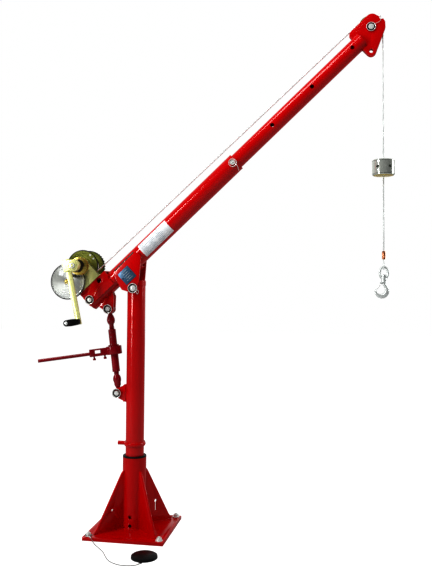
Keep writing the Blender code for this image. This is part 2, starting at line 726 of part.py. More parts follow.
def build_sheave(slide):
    axis = axis_empty("sheave_axis", (SHEAVE_X - PIN_STATION, 0, SHEAVE_LIFT - BOOM_LIFT),
                      0.0, slide)
    groove = SHEAVE_PITCH_R - ROPE_R - GAP
    turned("sheave", [
        (0.0160, 0.0080), (0.0160, 0.0072), (SHEAVE_RIM_R, 0.0072), (groove, 0.0020),
        (groove, -0.0020), (SHEAVE_RIM_R, -0.0072), (0.0160, -0.0072), (0.0160, -0.0080),
        (0.0100, -0.0080), (0.0100, 0.0080),
    ], "yellow_zinc", axis, (0, 0, 0), "Y", 28)
    return axis


def build_extension_pin(frame):
    """The quick-release pin; its tip stops short of the inner tube, so that both can move."""
    axis = axis_empty("extension_pin_axis", (PIN_STATION, 0, BOOM_LIFT), 0.0, frame)
    y_pin("extension_pin", 0, 0, -0.0560, -0.0372, PIN_RADIUS, "clear_zinc", axis, 0.0130)


# ---------------------------------------------------------------- load line
def world_of_sheave():
    c, s = math.cos(BOOM_ANGLE), math.sin(BOOM_ANGLE)
    return (c * SHEAVE_X - s * SHEAVE_LIFT, LUFF_PIVOT_Z + s * SHEAVE_X + c * SHEAVE_LIFT)


def build_load_line(slide):
    """The falling rope turns about the sheave's axis, so that it stays plumb."""
    axis = axis_empty("load_axis", (SHEAVE_X - PIN_STATION, 0, SHEAVE_LIFT - BOOM_LIFT),
                      -BOOM_ANGLE, slide)
    x, z = world_of_sheave()
    points = [(px, 0.0, pz) for px, pz in arc((0, 0), SHEAVE_PITCH_R, 44.4, 0.0, 6)]
    drop = z - WEIGHT_TOP
    for i in range(1, 9):
        points.append((SHEAVE_PITCH_R, 0.0, -(drop - GAP) * i / 8))
    wire_part("rope_fall", points, ROPE_R, "wire_rope", axis)
    return axis, x + SHEAVE_PITCH_R, z


def build_hoist(load_axis, sheave_z):
    """The weight, the rope's tail, its ferrule and eye, and the swivel's bow."""
    hoist = axis_empty("hoist_axis", (SHEAVE_PITCH_R, 0, -sheave_z), 0.0, load_axis)
    # In this empty's frame heights are world heights and X is 0 on the rope.
    bore = ROPE_R + 0.0022
    weight = turned("overhaul_weight", [
        (WEIGHT_R - 0.0040, WEIGHT_TOP), (WEIGHT_R, WEIGHT_TOP - 0.0040),
        (WEIGHT_R, WEIGHT_BOTTOM + 0.0040), (WEIGHT_R - 0.0040, WEIGHT_BOTTOM),
        (bore, WEIGHT_BOTTOM), (bore, WEIGHT_TOP),
    ], "polished_steel", hoist, (0, 0, 0), "Z", 30)
    holes = bmesh.new()
    for x in (-0.0285, 0.0275):
        add_rod(holes, 0.0065, -0.08, -0.012, "Y", (x, 1.7440), 20)
    cut(weight, holes)
    wire_part("rope_tail", [(0.0, 0.0, WEIGHT_TOP - GAP - (WEIGHT_TOP - FERRULE_TOP - 2 * GAP) * i / 6)
                            for i in range(7)], ROPE_R, "wire_rope", hoist)
    turned("ferrule", [
        (0.0, FERRULE_TOP), (0.0060, FERRULE_TOP), (0.0078, FERRULE_TOP - 0.0040),
        (0.0078, FERRULE_BOTTOM), (0.0, FERRULE_BOTTOM),
    ], "copper", hoist, (0, 0, 0), "Z", 18)
    build_rope_eye(hoist)
    build_swivel_bow(hoist)
    return hoist


BOW_CENTRE_Z, BOW_HALF_W, BOW_HALF_H, BOW_BAR = 1.2500, 0.0185, 0.0285, 0.0050


def build_rope_eye(hoist):
    """The rope's loop, which stands across the bow and goes under its top."""
    top, half = FERRULE_BOTTOM - GAP, 0.0105
    centre_z = BOW_CENTRE_Z + BOW_HALF_H
    points = [(0.0, -0.0036, top), (0.0, -0.0036, top - 0.0030), (0.0, -0.0070, top - 0.0110)]
    points += [(0.0, y, z) for y, z in arc((0.0, centre_z), half, 170, 370, 8)]
    points += [(0.0, 0.0070, top - 0.0110), (0.0, 0.0036, top - 0.0030), (0.0, 0.0036, top)]
    wire_part("rope_eye", points, 0.0029, "wire_rope", hoist)


def loft(rings):
    """A closed skin over rings of points, with a face at each end unless it meets itself."""
    bm = bmesh.new()
    made = [[bm.verts.new(co) for co in ring] for ring in rings]
    count = len(made[0])
    for low, high in zip(made, made[1:]):
        for k in range(count):
            bm.faces.new((low[k], low[(k + 1) % count], high[(k + 1) % count], high[k]))
    bm.faces.new(made[0])
    bm.faces.new(reversed(made[-1]))
    bmesh.ops.recalc_face_normals(bm, faces=bm.faces)
    return bm


def bow_ring():
    """The bow's oval, as a round bar bent in the XZ plane."""
    steps, sides = 16, 8
    bm = bmesh.new()
    rings = []
    for i in range(steps):
        a = 2 * math.pi * i / steps
        middle = Vector((BOW_HALF_W * math.cos(a), 0.0, BOW_CENTRE_Z + BOW_HALF_H * math.sin(a)))
        out = Vector((BOW_HALF_H * math.cos(a), 0.0, BOW_HALF_W * math.sin(a))).normalized()
        ring = []
        for k in range(sides):
            b = 2 * math.pi * k / sides
            ring.append(bm.verts.new(middle + out * BOW_BAR * math.cos(b)
                                     + Vector((0, 1, 0)) * BOW_BAR * math.sin(b)))
        rings.append(ring)
    for i in range(steps):
        low, high = rings[i], rings[(i + 1) % steps]
        for k in range(sides):
            bm.faces.new((low[k], low[(k + 1) % sides], high[(k + 1) % sides], high[k]))
    return bm


def build_swivel_bow(hoist):
    """The swivel's bow: an oval ring with a bored boss for the hook's shank."""
    obj = add_part("swivel_bow", mesh_from(bow_ring(), "swivel_bow"), "galvanised", hoist)
    boss = bmesh.new()
    add_rod(boss, 0.0125, 1.2130, 1.2342, "Z", (0, 0), 20, 0.0105)
    fuse(obj, boss)
    bore = bmesh.new()
    add_rod(bore, 0.0076, 1.2000, 1.2400, "Z", (0, 0), 20)
    cut(obj, bore)


HOOK_CENTRE, HOOK_R = (-0.0120, -0.0540), 0.0262


def build_hook(hoist):
    """The hook, its shank and its nut inside the bow; it turns about the rope's line."""
    swivel = axis_empty("hook_axis", (0, 0, HOOK_SHANK_Z), 0.0, hoist)
    shank = turned("hook", [
        (0.0, 0.0205), (0.0085, 0.0205), (0.0085, 0.0125), (0.0070, 0.0125), (0.0070, -0.0095),
        (0.0115, -0.0095), (0.0115, -0.0150), (0.0, -0.0150),
    ], "galvanised", swivel, (0, 0, 0), "Z", 20)
    fuse(shank, hook_curve())
    return swivel


def hook_curve():
    """The hook's curve, thickest at the bottom and tapering to the tip."""
    path = [(0.0, -0.0140, 0.0070), (0.0015, -0.0220, 0.0072), (0.0070, -0.0330, 0.0080)]
    for deg in range(20, -201, -22):
        angle = math.radians(deg)
        share = (20 - deg) / 220
        thick = 0.0085 + 0.0028 * math.sin(math.pi * min(1.0, share * 1.5))
        thick -= 0.0052 * max(0.0, share - 0.55) / 0.45
        path.append((HOOK_CENTRE[0] + HOOK_R * math.cos(angle),
                     HOOK_CENTRE[1] + HOOK_R * math.sin(angle), thick))
    side = Vector((0, 1, 0))
    rings = []
    for i, (x, z, thick) in enumerate(path):
        before, after = path[max(0, i - 1)], path[min(len(path) - 1, i + 1)]
        along = Vector((after[0] - before[0], 0.0, after[1] - before[1])).normalized()
        out = side.cross(along)
        ring = []
        for k in range(10):
            angle = 2 * math.pi * k / 10
            ring.append(Vector((x, 0.0, z)) + out * thick * math.cos(angle)
                        + side * thick * 0.82 * math.sin(angle))
        rings.append(ring)
    return loft(rings)


LATCH_PIVOT, LATCH_LEAN, LATCH_LENGTH = (-0.0110, -0.0190), math.radians(34.4), 0.0340


def build_latch(swivel):
    """The spring latch that closes the hook's mouth; it opens inwards."""
    axis = axis_empty("latch_axis", (LATCH_PIVOT[0], 0, LATCH_PIVOT[1]), 0.0, swivel)
    half = LATCH_LENGTH / 2
    bm = bmesh.new()
    add_box(bm, (0.0024, 0.0110, LATCH_LENGTH),
            (-half * math.sin(LATCH_LEAN), 0.0, -half * math.cos(LATCH_LEAN)), -LATCH_LEAN)
    latch = add_part("hook_latch", mesh_from(bm, "hook_latch"), "clear_zinc", axis)
    pivot = bmesh.new()
    add_rod(pivot, 0.0032, -0.0080, 0.0080, "Y", (0.0, 0.0), 14)
    fuse(latch, pivot)


# ---------------------------------------------------------------- winch
def build_drum(frame):
    axis = axis_empty("drum_axis", (DRUM_X, 0, DRUM_LIFT), 0.0, frame)
    barrel, bore, hub = 0.0510, 0.0096, 0.0160
    drum = turned("winch_drum", [
        (FLANGE_R, -0.0445), (FLANGE_R, -0.0475), (0.0200, -0.0475), (0.0200, -0.0505),
        (bore, -0.0505), (bore, 0.0760), (hub, 0.0760), (hub, 0.0475), (FLANGE_R, 0.0475),
        (FLANGE_R, 0.0445), (barrel, 0.0445), (barrel, -0.0445),
    ][::-1], "olive_zinc", axis, (0, 0, 0), "Y", 28)
    outline = gear_outline(DRUM_TEETH, GEAR_MODULE, (0.0, 0.0))
    fuse(drum, solid_from_outlines([outline, circle((0, 0), hub - 0.001, 28)], 0.0600, 0.0700),
         "Y")
    build_windings(axis, barrel)
    return axis


def build_windings(axis, barrel):
    """The rope's turns on the drum, as one sleeve."""
    turned("rope_windings", tube_profile(DRUM_ROPE_R - ROPE_R - GAP, barrel + GAP, -0.0440, 0.0440),
           "wire_rope", axis, (0, 0, 0), "Y", 28)


def build_lay_shaft(frame):
    """The intermediate shaft with the large gear on the near side and its pinion on the far."""
    lay = lay_axis()
    axis = axis_empty("lay_axis", (lay[0], 0, lay[1]), 0.0, frame)
    shaft = turned("lay_shaft", [
        (0.0, 0.0760), (0.0080, 0.0760), (0.0080, -0.0790), (0.0130, -0.0790),
        (0.0130, -0.0860), (0.0090, -0.0860), (0.0080, -0.0950), (0.0, -0.0950),
    ], "yellow_zinc", axis, (0, 0, 0), "Y", 18)
    plate_part("large_gear", [gear_outline(BIG_TEETH, GEAR_MODULE, (0, 0)),
                              circle((0, 0), 0.0080 + GAP, 24)], -0.0700, -0.0600,
               "yellow_zinc", axis)
    pinion = solid_from_outlines([gear_outline(LAY_TEETH, GEAR_MODULE, (0, 0))], 0.0600, 0.0700)
    fuse(shaft, pinion, "Y")
    return axis


CRANK_LEAN = math.radians(12.3)     # the arm's lean from plumb at rest
CRANK_LENGTH = 0.291


def build_crank(frame):
    """The crank shaft with its pinion, the load brake, the head block, the arm and the nut."""
    axis = axis_empty("crank_axis", (DRUM_X, 0, DRUM_LIFT), -BOOM_ANGLE, frame)
    # This frame is plumb at rest: X is level and Z is up.
    shaft = turned("crank_shaft", [
        (0.0, 0.0800), (0.0090, 0.0800), (0.0090, -0.1840), (0.0, -0.1840),
    ], "yellow_zinc", axis, (0, 0, 0), "Y", 18)
    pinion = solid_from_outlines([gear_outline(PINION_TEETH, GEAR_MODULE, (0, 0))],
                                 -0.0700, -0.0600)
    fuse(shaft, pinion, "Y")
    turned("brake_lining", [
        (0.0380, -0.0780), (0.0380, -0.0960), (0.0093, -0.0960), (0.0093, -0.0780),
    ], "brake_lining", axis, (0, 0, 0), "Y", 28)
    turned("brake_hub", [
        (0.0410, -0.0965), (0.0420, -0.0975), (0.0420, -0.1030), (0.0285, -0.1060),
        (0.0285, -0.1495), (0.0093, -0.1495), (0.0093, -0.0965),
    ], "yellow_zinc", axis, (0, 0, 0), "Y", 28)
    bm = bmesh.new()
    add_rod(bm, 0.0145, -0.1920, -0.1843, "Y", (0, 0), 6)
    add_part("crank_nut", mesh_from(bm, "crank_nut"), "clear_zinc", axis)
    build_crank_arm(axis)
    return axis


def arm_point(along, across=0.0):
    """A point in the crank's plane, along the arm from level with the shaft."""
    c, s = math.cos(CRANK_LEAN), math.sin(CRANK_LEAN)
    root = (-0.0300, 0.0040)
    return (root[0] + s * along + c * across, root[1] - c * along + s * across)


def build_crank_arm(axis):
    """The head, a boss on the shaft with a block beside it, and the flat arm clamped in it."""
    bm = bmesh.new()
    add_rod(bm, 0.0285, -0.1820, -0.1500, "Y", (0, 0), 28)
    block = add_part("crank_block", mesh_from(bm, "crank_block"), "yellow_zinc", axis)
    x, z = arm_point(0.0040)
    side = bmesh.new()
    add_box(side, (0.0400, 0.0240, 0.0540), (x, -0.1660, z), CRANK_LEAN)
    fuse(block, side)
    slot = bmesh.new()
    add_box(slot, (0.0256, 0.0106, 0.20), (x, -0.1660, z), CRANK_LEAN)
    cut(block, slot)
    shaft_hole = bmesh.new()
    add_rod(shaft_hole, 0.0093, -0.2000, -0.1400, "Y", (0, 0), 18)
    cut(block, shaft_hole)
    low, top = arm_point(CRANK_LENGTH), arm_point(-0.0260)
    arm = bmesh.new()
    add_box(arm, (0.0250, 0.0100, CRANK_LENGTH + 0.0260),
            ((low[0] + top[0]) / 2, -0.1660, (low[1] + top[1]) / 2), CRANK_LEAN)
    obj = add_part("crank_arm", mesh_from(arm, "crank_arm"), "yellow_zinc", axis)
    stub = bmesh.new()
    x, z = arm_point(CRANK_LENGTH - 0.0140)
    add_rod(stub, 0.0050, -0.3240, -0.1680, "Y", (x, z), 16)
    fuse(obj, stub)


def build_grip(crank_axis):
    x, z = arm_point(CRANK_LENGTH - 0.0140)
    axis = axis_empty("grip_axis", (x, 0, z), 0.0, crank_axis)
    turned("crank_grip", [
        (0.0056, -0.1760), (0.0140, -0.1760), (0.0125, -0.1950), (0.0145, -0.2600),
        (0.0135, -0.3050), (0.0145, -0.3190), (0.0120, -0.3230), (0.0056, -0.3230),
    ], "black_plastic", axis, (0, 0, 0), "Y", 20)


def build_pawl(frame):
    """The pawl, on the gear guard's face, below the brake lining's rim."""
    angle = PAWL_DIRECTION + math.atan2(0.0480, 0.0260)
    pivot = (DRUM_X + 0.0546 * math.cos(angle), DRUM_LIFT + 0.0546 * math.sin(angle))
    axis = axis_empty("pawl_axis", (pivot[0], 0, pivot[1]), PAWL_DIRECTION, frame)
    bm = bmesh.new()
    add_box(bm, (0.0340, 0.0060, 0.0100), (-0.0130, -0.0900, 0.0020), math.radians(-4))
    pawl = add_part("brake_pawl", mesh_from(bm, "brake_pawl"), "yellow_zinc", axis)
    hub = bmesh.new()
    add_rod(hub, 0.0080, -0.0960, -0.0753, "Y", (0, 0), 20)
    fuse(pawl, hub)
    round_edges(pawl, 0.0006)


# ---------------------------------------------------------------- jack
def jack_line():
    """The jack's lower pin, its length and its lean from plumb, in the mast's frame."""
    c, s = math.cos(BOOM_ANGLE), math.sin(BOOM_ANGLE)
    top = Vector((c * JACK_PIN[0] - s * JACK_PIN[1],
                  LUFF_PIVOT_Z + s * JACK_PIN[0] + c * JACK_PIN[1]))
    low = Vector(LUG_PIN)
    line = top - low
    return low, line.length, math.atan2(-line.x, line.y)


def build_jack(mast_axis):
    low, length, lean = jack_line()
    lower = axis_empty("jack_axis", (low.x, 0, low.y), lean, mast_axis)
    screw = 0.0110
    eye_lower = turned("jack_lower_screw", [
        (0.0, 0.1950), (screw - 0.0015, 0.1950), (screw, 0.1930), (screw, 0.0880),
        (0.0165, 0.0800), (0.0195, 0.0700), (0.0195, 0.0600), (0.0160, 0.0470), (0.0160, 0.0370),
        (0.0100, 0.0250), (0.0100, 0.0150), (0.0, 0.0150),
    ], "jack_paint", lower, (0, 0, 0), "Z", 18)
    add_eye(eye_lower, 0.0, 0.0200, 0.0082)
    build_barrel(lower)
    upper = axis_empty("jack_upper_axis", (0, 0, length), 0.0, lower)
    eye_upper = turned("jack_upper_screw", [
        (0.0, -0.0200), (0.0100, -0.0200), (0.0100, -0.0265), (0.0160, -0.0380), (0.0195, -0.0500),
        (0.0195, -0.0600), (0.0165, -0.0700), (screw, -0.0780), (screw, -0.1930),
        (screw - 0.0015, -0.1950), (0.0, -0.1950),
    ], "jack_paint", upper, (0, 0, 0), "Z", 18)
    add_eye(eye_upper, 0.0, 0.0240, 0.0172)
    return lower


def add_eye(obj, centre_z, outer, hole):
    """The flat eye at a screw's end; the neck is fused and the pin's hole cut last."""
    ring = bmesh.new()
    add_rod(ring, outer, -0.0100, 0.0100, "Y", (0.0, centre_z), 22)
    fuse(obj, ring)
    bore = bmesh.new()
    add_rod(bore, hole, -0.0300, 0.0300, "Y", (0.0, centre_z), 20)
    cut(obj, bore)


def build_barrel(lower):
    """The jack's barrel with its ratchet wheel, on the slide that follows the boom."""
    axis = axis_empty("barrel_axis", (0, 0, 0), 0.0, lower)
    mid = LEVER_STATION
    turned("jack_barrel", [
        (0.0165, BARREL_END), (0.0182, BARREL_END - 0.0020), (0.0182, mid + 0.0090),
        (0.0270, mid + 0.0080), (0.0270, mid - 0.0080), (0.0182, mid - 0.0090),
        (0.0182, BARREL_START + 0.0020), (0.0165, BARREL_START), (0.0128, BARREL_START),
        (0.0128, BARREL_END),
    ], "jack_paint", axis, (0, 0, 0), "Z", 24)
    turned("jack_thrust_ring", [
        (0.0250, mid + 0.0265), (0.0260, mid + 0.0255), (0.0260, mid + 0.0215),
        (0.0250, mid + 0.0205), (0.0185, mid + 0.0205), (0.0185, mid + 0.0265),
    ], "jack_paint", axis, (0, 0, 0), "Z", 24)
    build_lever(axis)
    return axis


def build_lever(barrel_axis):
    """The ratchet lever: a head round the barrel, a bracket and a round handle."""
    axis = axis_empty("lever_axis", (0, 0, LEVER_STATION), 0.0, barrel_axis)
    axis.rotation_euler = (0.0, 0.0, LEVER_HEADING)
    lever = turned("ratchet_lever", [
        (0.0365, 0.0200), (0.0380, 0.0185), (0.0380, -0.0185), (0.0365, -0.0200),
        (0.0186, -0.0200), (0.0186, -0.0110), (0.0285, -0.0100), (0.0285, 0.0100),
        (0.0186, 0.0110), (0.0186, 0.0200),
    ], "jack_paint", axis, (0, 0, 0), "Z", 24)
    bracket = bmesh.new()
    add_box(bracket, (0.0900, 0.0200, 0.0360), (0.0760, 0.0, -0.0010))
    fuse(lever, bracket)
    handle = bmesh.new()
    add_rod(handle, 0.0078, 0.1150, 0.3680, "X", (0.0, -0.0040), 16)
    fuse(lever, handle)
    window = bmesh.new()
    add_box(window, (0.0300, 0.0400, 0.0160), (0.0820, 0.0, 0.0020))
    cut(lever, window)
    knobs = bmesh.new()
    for x in (0.0480, 0.1010):
        add_rod(knobs, 0.0040, -0.0300, -0.0100, "Z", (x, 0.0), 10)
    fuse(lever, knobs)
    caps = bmesh.new()
    for x in (0.0480, 0.1010):
        add_rod(caps, 0.0072, -0.0370, -0.0280, "Z", (x, 0.0), 14)
    fuse(lever, caps)


# ---------------------------------------------------------------- all of it
def build_crane():
    clear_scene()
    make_collections()
    make_materials()
    build_base()
    build_cap()
    mast_axis = build_mast()
    frame = build_boom(mast_axis)
    slide = build_extension(frame)
    build_rope_over_sheave(slide)
    build_sheave(slide)
    build_extension_pin(frame)
    load_axis, _, sheave_z = build_load_line(slide)
    hoist = build_hoist(load_axis, sheave_z)
    swivel = build_hook(hoist)
    build_latch(swivel)
    build_drum(frame)
    build_lay_shaft(frame)
    crank_axis = build_crank(frame)
    build_grip(crank_axis)
    build_pawl(frame)
    build_jack(mast_axis)


build_crane()
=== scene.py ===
"""Looks, camera and light for the floor-mounted davit crane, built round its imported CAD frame.

Metres, +Z up, in the frame's own coordinates.  The boom's own frame has its origin on the luff
pivot, X along the boom and Z square to it; B(s, y, v) turns a place in it into the row frame.
"""

import json
from math import asin, atan2, cos, pi, radians, sin, sqrt, tau

import bmesh
import bpy
from mathutils import Matrix, Vector

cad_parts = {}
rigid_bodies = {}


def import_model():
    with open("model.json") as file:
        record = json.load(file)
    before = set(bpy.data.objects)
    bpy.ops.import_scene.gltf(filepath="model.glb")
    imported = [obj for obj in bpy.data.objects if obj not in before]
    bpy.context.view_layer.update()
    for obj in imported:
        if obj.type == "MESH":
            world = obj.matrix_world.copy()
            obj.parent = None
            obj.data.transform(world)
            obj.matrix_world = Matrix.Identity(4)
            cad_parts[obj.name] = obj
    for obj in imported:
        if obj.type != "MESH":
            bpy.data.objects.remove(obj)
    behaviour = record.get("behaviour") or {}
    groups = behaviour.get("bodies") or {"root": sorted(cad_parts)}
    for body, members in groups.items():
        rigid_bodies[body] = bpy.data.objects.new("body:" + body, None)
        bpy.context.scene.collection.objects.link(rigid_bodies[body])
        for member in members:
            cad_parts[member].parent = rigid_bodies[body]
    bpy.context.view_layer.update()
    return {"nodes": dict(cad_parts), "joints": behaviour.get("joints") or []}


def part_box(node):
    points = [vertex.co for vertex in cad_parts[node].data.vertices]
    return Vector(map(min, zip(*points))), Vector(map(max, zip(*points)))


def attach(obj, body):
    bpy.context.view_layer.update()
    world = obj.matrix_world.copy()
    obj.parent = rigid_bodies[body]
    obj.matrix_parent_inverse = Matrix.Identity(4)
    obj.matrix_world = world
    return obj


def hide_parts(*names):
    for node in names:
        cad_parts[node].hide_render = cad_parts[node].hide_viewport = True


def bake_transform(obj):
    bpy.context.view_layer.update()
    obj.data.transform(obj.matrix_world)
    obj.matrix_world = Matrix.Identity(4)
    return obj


for leftover in list(bpy.data.objects):
    bpy.data.objects.remove(leftover, do_unlink=True)

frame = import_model()
NODES = frame["nodes"]
JOINT = {j["name"]: j for j in frame["joints"]}

# ---------------------------------------------------------------- places, worked out from the frame
def pivot(joint):
    """Where a joint's axis crosses the middle plane, y = 0."""
    x, _, z = JOINT[joint]["pos_m"]
    return Vector((x, 0.0, z))


LUFF, DRUM, LAY_SHAFT = pivot("boom_luff"), pivot("drum_spin"), pivot("intermediate_spin")
SHEAVE, GRIP, LATCH = pivot("sheave_spin"), pivot("grip_spin"), pivot("hook_latch_swing")
JACK_FOOT, ROPE_X = pivot("jack_tilt"), pivot("hook_swivel").x
BOOM_AXIS = Vector(JOINT["boom_extend"]["axis"]).normalized()
BOOM_ANGLE = atan2(BOOM_AXIS.z, BOOM_AXIS.x)
BOOM_FRAME = Matrix.Translation((0.0, 0.0, LUFF.z)) @ Matrix.Rotation(-BOOM_ANGLE, 4, "Y")
JACK_LINE = Vector(JOINT["jack_extend"]["axis"]).normalized()
if JACK_LINE.z < 0:
    JACK_LINE.negate()
ALONG_X, ALONG_Y, ALONG_Z = Vector((1, 0, 0)), Vector((0, 1, 0)), Vector((0, 0, 1))

# Sizes that part.py has too, in metres.
ROPE_R = 0.0032                 # half the hoist rope's thickness
TUBE_R = 0.08890 / 2            # the outer boom tube and the mast, outside
BOOM_LIFT = 0.1087              # the boom's axis above the luff pivot, square to the boom
STATION_SHIFT = 0.1024          # the boom's stations count from here along its own frame
DRUM_ROPE_R = 0.0580            # from the drum's axis to the rope that leaves it
SHEAVE_PITCH_R = 0.0545         # from the sheave's axis to the middle of its rope
LANYARD_R = 0.0015              # half the cap cable's thickness
PATCH_THICK = 0.00025           # a sticker's film

BEVEL_ANGLE = radians(40)  # edges sharper than this are softened
SMOOTH_ANGLE = 38.0             # degrees; edges sharper than this stay sharp in the shading
SMOOTH_ALL = 60.0               # the same for beads and strands
WELD_STEP, WELD_RIPPLE = 0.0016, 0.16      # a weld bead's ripples: spacing and share of its size
WELD_GAP = 0.00001              # vertices of a CAD node this close are one
ORANGE_PEEL, DUST = 0.02, 0.03  # how strong the paint's two bumps are
LANYARD_ROUTE = [
    (-0.1590, -0.1880, 0.0200), (-0.1500, -0.1965, 0.0190), (-0.1400, -0.2060, 0.0125),
    (-0.1270, -0.2200, 0.0050), (-0.1100, -0.2400, 0.0021), (-0.0800, -0.2740, 0.0020),
    (-0.0500, -0.3110, 0.0020), (-0.0290, -0.3470, 0.0020), (-0.0099, -0.3790, 0.0020),
    (0.0100, -0.4040, 0.0020), (0.0338, -0.4220, 0.0020), (0.0560, -0.4330, 0.0020),
    (0.0787, -0.4380, 0.0020), (0.1096, -0.4350, 0.0020), (0.1360, -0.4240, 0.0024),
    (0.1480, -0.4110, 0.0040),
]


def B(s, y, v):
    """A place in the boom's frame, in the row frame; v is the height above the luff pivot."""
    return BOOM_FRAME @ Vector((s, y, v))


def middle(node):
    low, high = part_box(node)
    return (low + high) / 2


# ---------------------------------------------------------------- materials
LOOKS = {}


class Look:
    """A Principled material that is put together one node at a time."""

    def __init__(self, name, colour, roughness, metallic=0.0, coat=0.0):
        self.mat = bpy.data.materials.new(name)
        self.mat.use_nodes = True
        self.tree = self.mat.node_tree
        self.shader = self.tree.nodes["Principled BSDF"]
        self.shader.inputs["Base Color"].default_value = (*colour, 1.0)
        self.shader.inputs["Roughness"].default_value = roughness
        self.shader.inputs["Metallic"].default_value = metallic
        self.shader.inputs["Coat Weight"].default_value = coat
        self.shader.inputs["Coat Roughness"].default_value = 0.06
        self.colour = colour
        LOOKS[name] = self.mat
        self.place = self.node("ShaderNodeTexCoord").outputs["Object"]

    def node(self, kind, values=(), **settings):
        made = self.tree.nodes.new(kind)
        for key, value in settings.items():
            setattr(made, key, value)
        for key, value in dict(values).items():
            if isinstance(value, bpy.types.NodeSocket):
                self.tree.links.new(value, made.inputs[key])
            else:
                made.inputs[key].default_value = value
        return made

    def stretched(self, scale):
        return self.node("ShaderNodeMapping", {"Vector": self.place, "Scale": scale}).outputs[0]

    def noise(self, scale, detail=3.0, place=None):
        return self.node("ShaderNodeTexNoise", {"Vector": place or self.place, "Scale": scale,
                                                "Detail": detail}).outputs["Fac"]

    def spread(self, value, low, high, to_low=0.0, to_high=1.0):
        return self.node("ShaderNodeMapRange", {"Value": value, "From Min": low, "From Max": high,
                                                "To Min": to_low, "To Max": to_high}).outputs[0]

    def tint(self, factor, other):
        """Mixes another colour over the base colour by factor."""
        socket = self.shader.inputs["Base Color"]
        mix = self.node("ShaderNodeMix", data_type="RGBA")
        colour_a, colour_b = [i for i in mix.inputs if i.type == "RGBA"]
        colour_a.default_value, colour_b.default_value = (*self.colour, 1.0), (*other, 1.0)
        if socket.links:
            self.tree.links.new(socket.links[0].from_socket, colour_a)
        self.tree.links.new(factor, mix.inputs[0])
        self.tree.links.new([o for o in mix.outputs if o.type == "RGBA"][0], socket)

    def rough(self, value):
        self.tree.links.new(value, self.shader.inputs["Roughness"])

    def bump(self, height, strength, distance):
        normal = self.shader.inputs["Normal"]
        made = self.node("ShaderNodeBump", {"Height": height, "Strength": strength,
                                            "Distance": distance})
        if normal.links:
            self.tree.links.new(normal.links[0].from_socket, made.inputs["Normal"])
        self.tree.links.new(made.outputs[0], normal)


def painted(name, colour, dark, roughness, gloss=0.5):
    """Gloss paint: a little orange peel, faint drift in the colour and dust in the low places."""
    look = Look(name, colour, roughness)
    look.shader.inputs["Specular IOR Level"].default_value = gloss
    look.tint(look.spread(look.noise(5.0, 4.0), 0.35, 0.75, 0.0, 0.55), dark)
    look.rough(look.spread(look.noise(30.0, 3.0), 0.3, 0.7, roughness - 0.03, roughness + 0.05))
    look.bump(look.noise(260.0, 2.0), ORANGE_PEEL, 0.0004)
    look.bump(look.noise(45.0, 2.0), DUST, 0.0008)


def plated(name, colour, second, roughness, metallic=1.0, brushed=(1.0, 1.0, 1.0)):
    """Zinc plate or bare steel: clouded colour and faint scratches drawn one way."""
    look = Look(name, colour, roughness, metallic)
    look.tint(look.spread(look.noise(14.0, 3.0), 0.35, 0.70, 0.0, 0.6), second)
    streaks = look.noise(60.0, 3.0, look.stretched(brushed))
    look.rough(look.spread(streaks, 0.3, 0.7, roughness - 0.05, roughness + 0.07))
    look.bump(streaks, 0.03, 0.0003)


def make_looks():
    painted("look_red", (0.66, 0.0004, 0.0024), (0.55, 0.0004, 0.0018), 0.13)
    # The base's red is the boom's red paint made darker, as painted shade on the base.
    painted("look_red_base_shaded", (0.60, 0.0002, 0.0022), (0.46, 0.0002, 0.0016), 0.16, 0.26)
    painted("look_jack", (0.33, 0.002, 0.014), (0.22, 0.001, 0.008), 0.18)
    plated("look_zinc", (0.92, 0.95, 0.93), (0.98, 0.98, 0.94), 0.24, 0.35, (1.0, 0.2, 3.0))
    plated("look_pale_zinc", (0.86, 0.87, 0.36), (0.93, 0.94, 0.52), 0.30, 0.30, (1.0, 0.3, 3.0))
    plated("look_gold_zinc", (0.90, 0.66, 0.14), (0.96, 0.88, 0.40), 0.24, 0.80, (1.0, 4.0, 1.0))
    plated("look_steel", (0.70, 0.74, 0.68), (0.84, 0.87, 0.80), 0.16, 0.55, (1.0, 1.0, 6.0))
    plated("look_forged", (0.88, 0.93, 0.91), (0.96, 0.98, 0.97), 0.34, 0.45, (1.0, 1.0, 1.0))
    plated("look_copper", (0.78, 0.30, 0.14), (0.92, 0.52, 0.34), 0.26, 1.0, (1.0, 1.0, 4.0))
    plated("look_dark_steel", (0.035, 0.035, 0.032), (0.07, 0.068, 0.06), 0.36, 0.8)
    make_disc_look("look_disc", (0.56, 0.58, 0.57), (0.70, 0.72, 0.68))
    make_disc_look("look_olive_zinc", (0.11, 0.14, 0.015), (0.26, 0.27, 0.06))
    make_rope_look("look_rope", (0.90, 0.94, 0.92), (0.96, 0.98, 0.97))
    make_rope_look("look_lanyard", (0.17, 0.18, 0.17), (0.30, 0.31, 0.30))
    make_rubber_look()
    make_lining_look()
    make_print_looks()


def make_disc_look(name, colour, second):
    """Turned plate: the tool marks run round, so the light fans out from the middle."""
    look = Look(name, colour, 0.24, 0.62)
    look.shader.inputs["Anisotropic"].default_value = 0.85
    tangent = look.node("ShaderNodeTangent", direction_type="RADIAL", axis="Y")
    look.tree.links.new(tangent.outputs[0], look.shader.inputs["Tangent"])
    look.tint(look.spread(look.noise(9.0, 1.0), 0.3, 0.75), second)
    look.rough(look.spread(look.noise(9.0, 1.0), 0.3, 0.7, 0.22, 0.30))


def make_rope_look(name, colour, second):
    """Galvanised wire: bright strands with grey between them."""
    look = Look(name, colour, 0.42, 0.15)
    look.tint(look.spread(look.noise(300.0, 3.0), 0.35, 0.65, 0.0, 0.7), second)
    wires = look.noise(900.0, 2.0, look.stretched((1.0, 1.0, 1.6)))
    look.bump(wires, 0.12, 0.0003)
    look.rough(look.spread(wires, 0.3, 0.7, 0.34, 0.48))


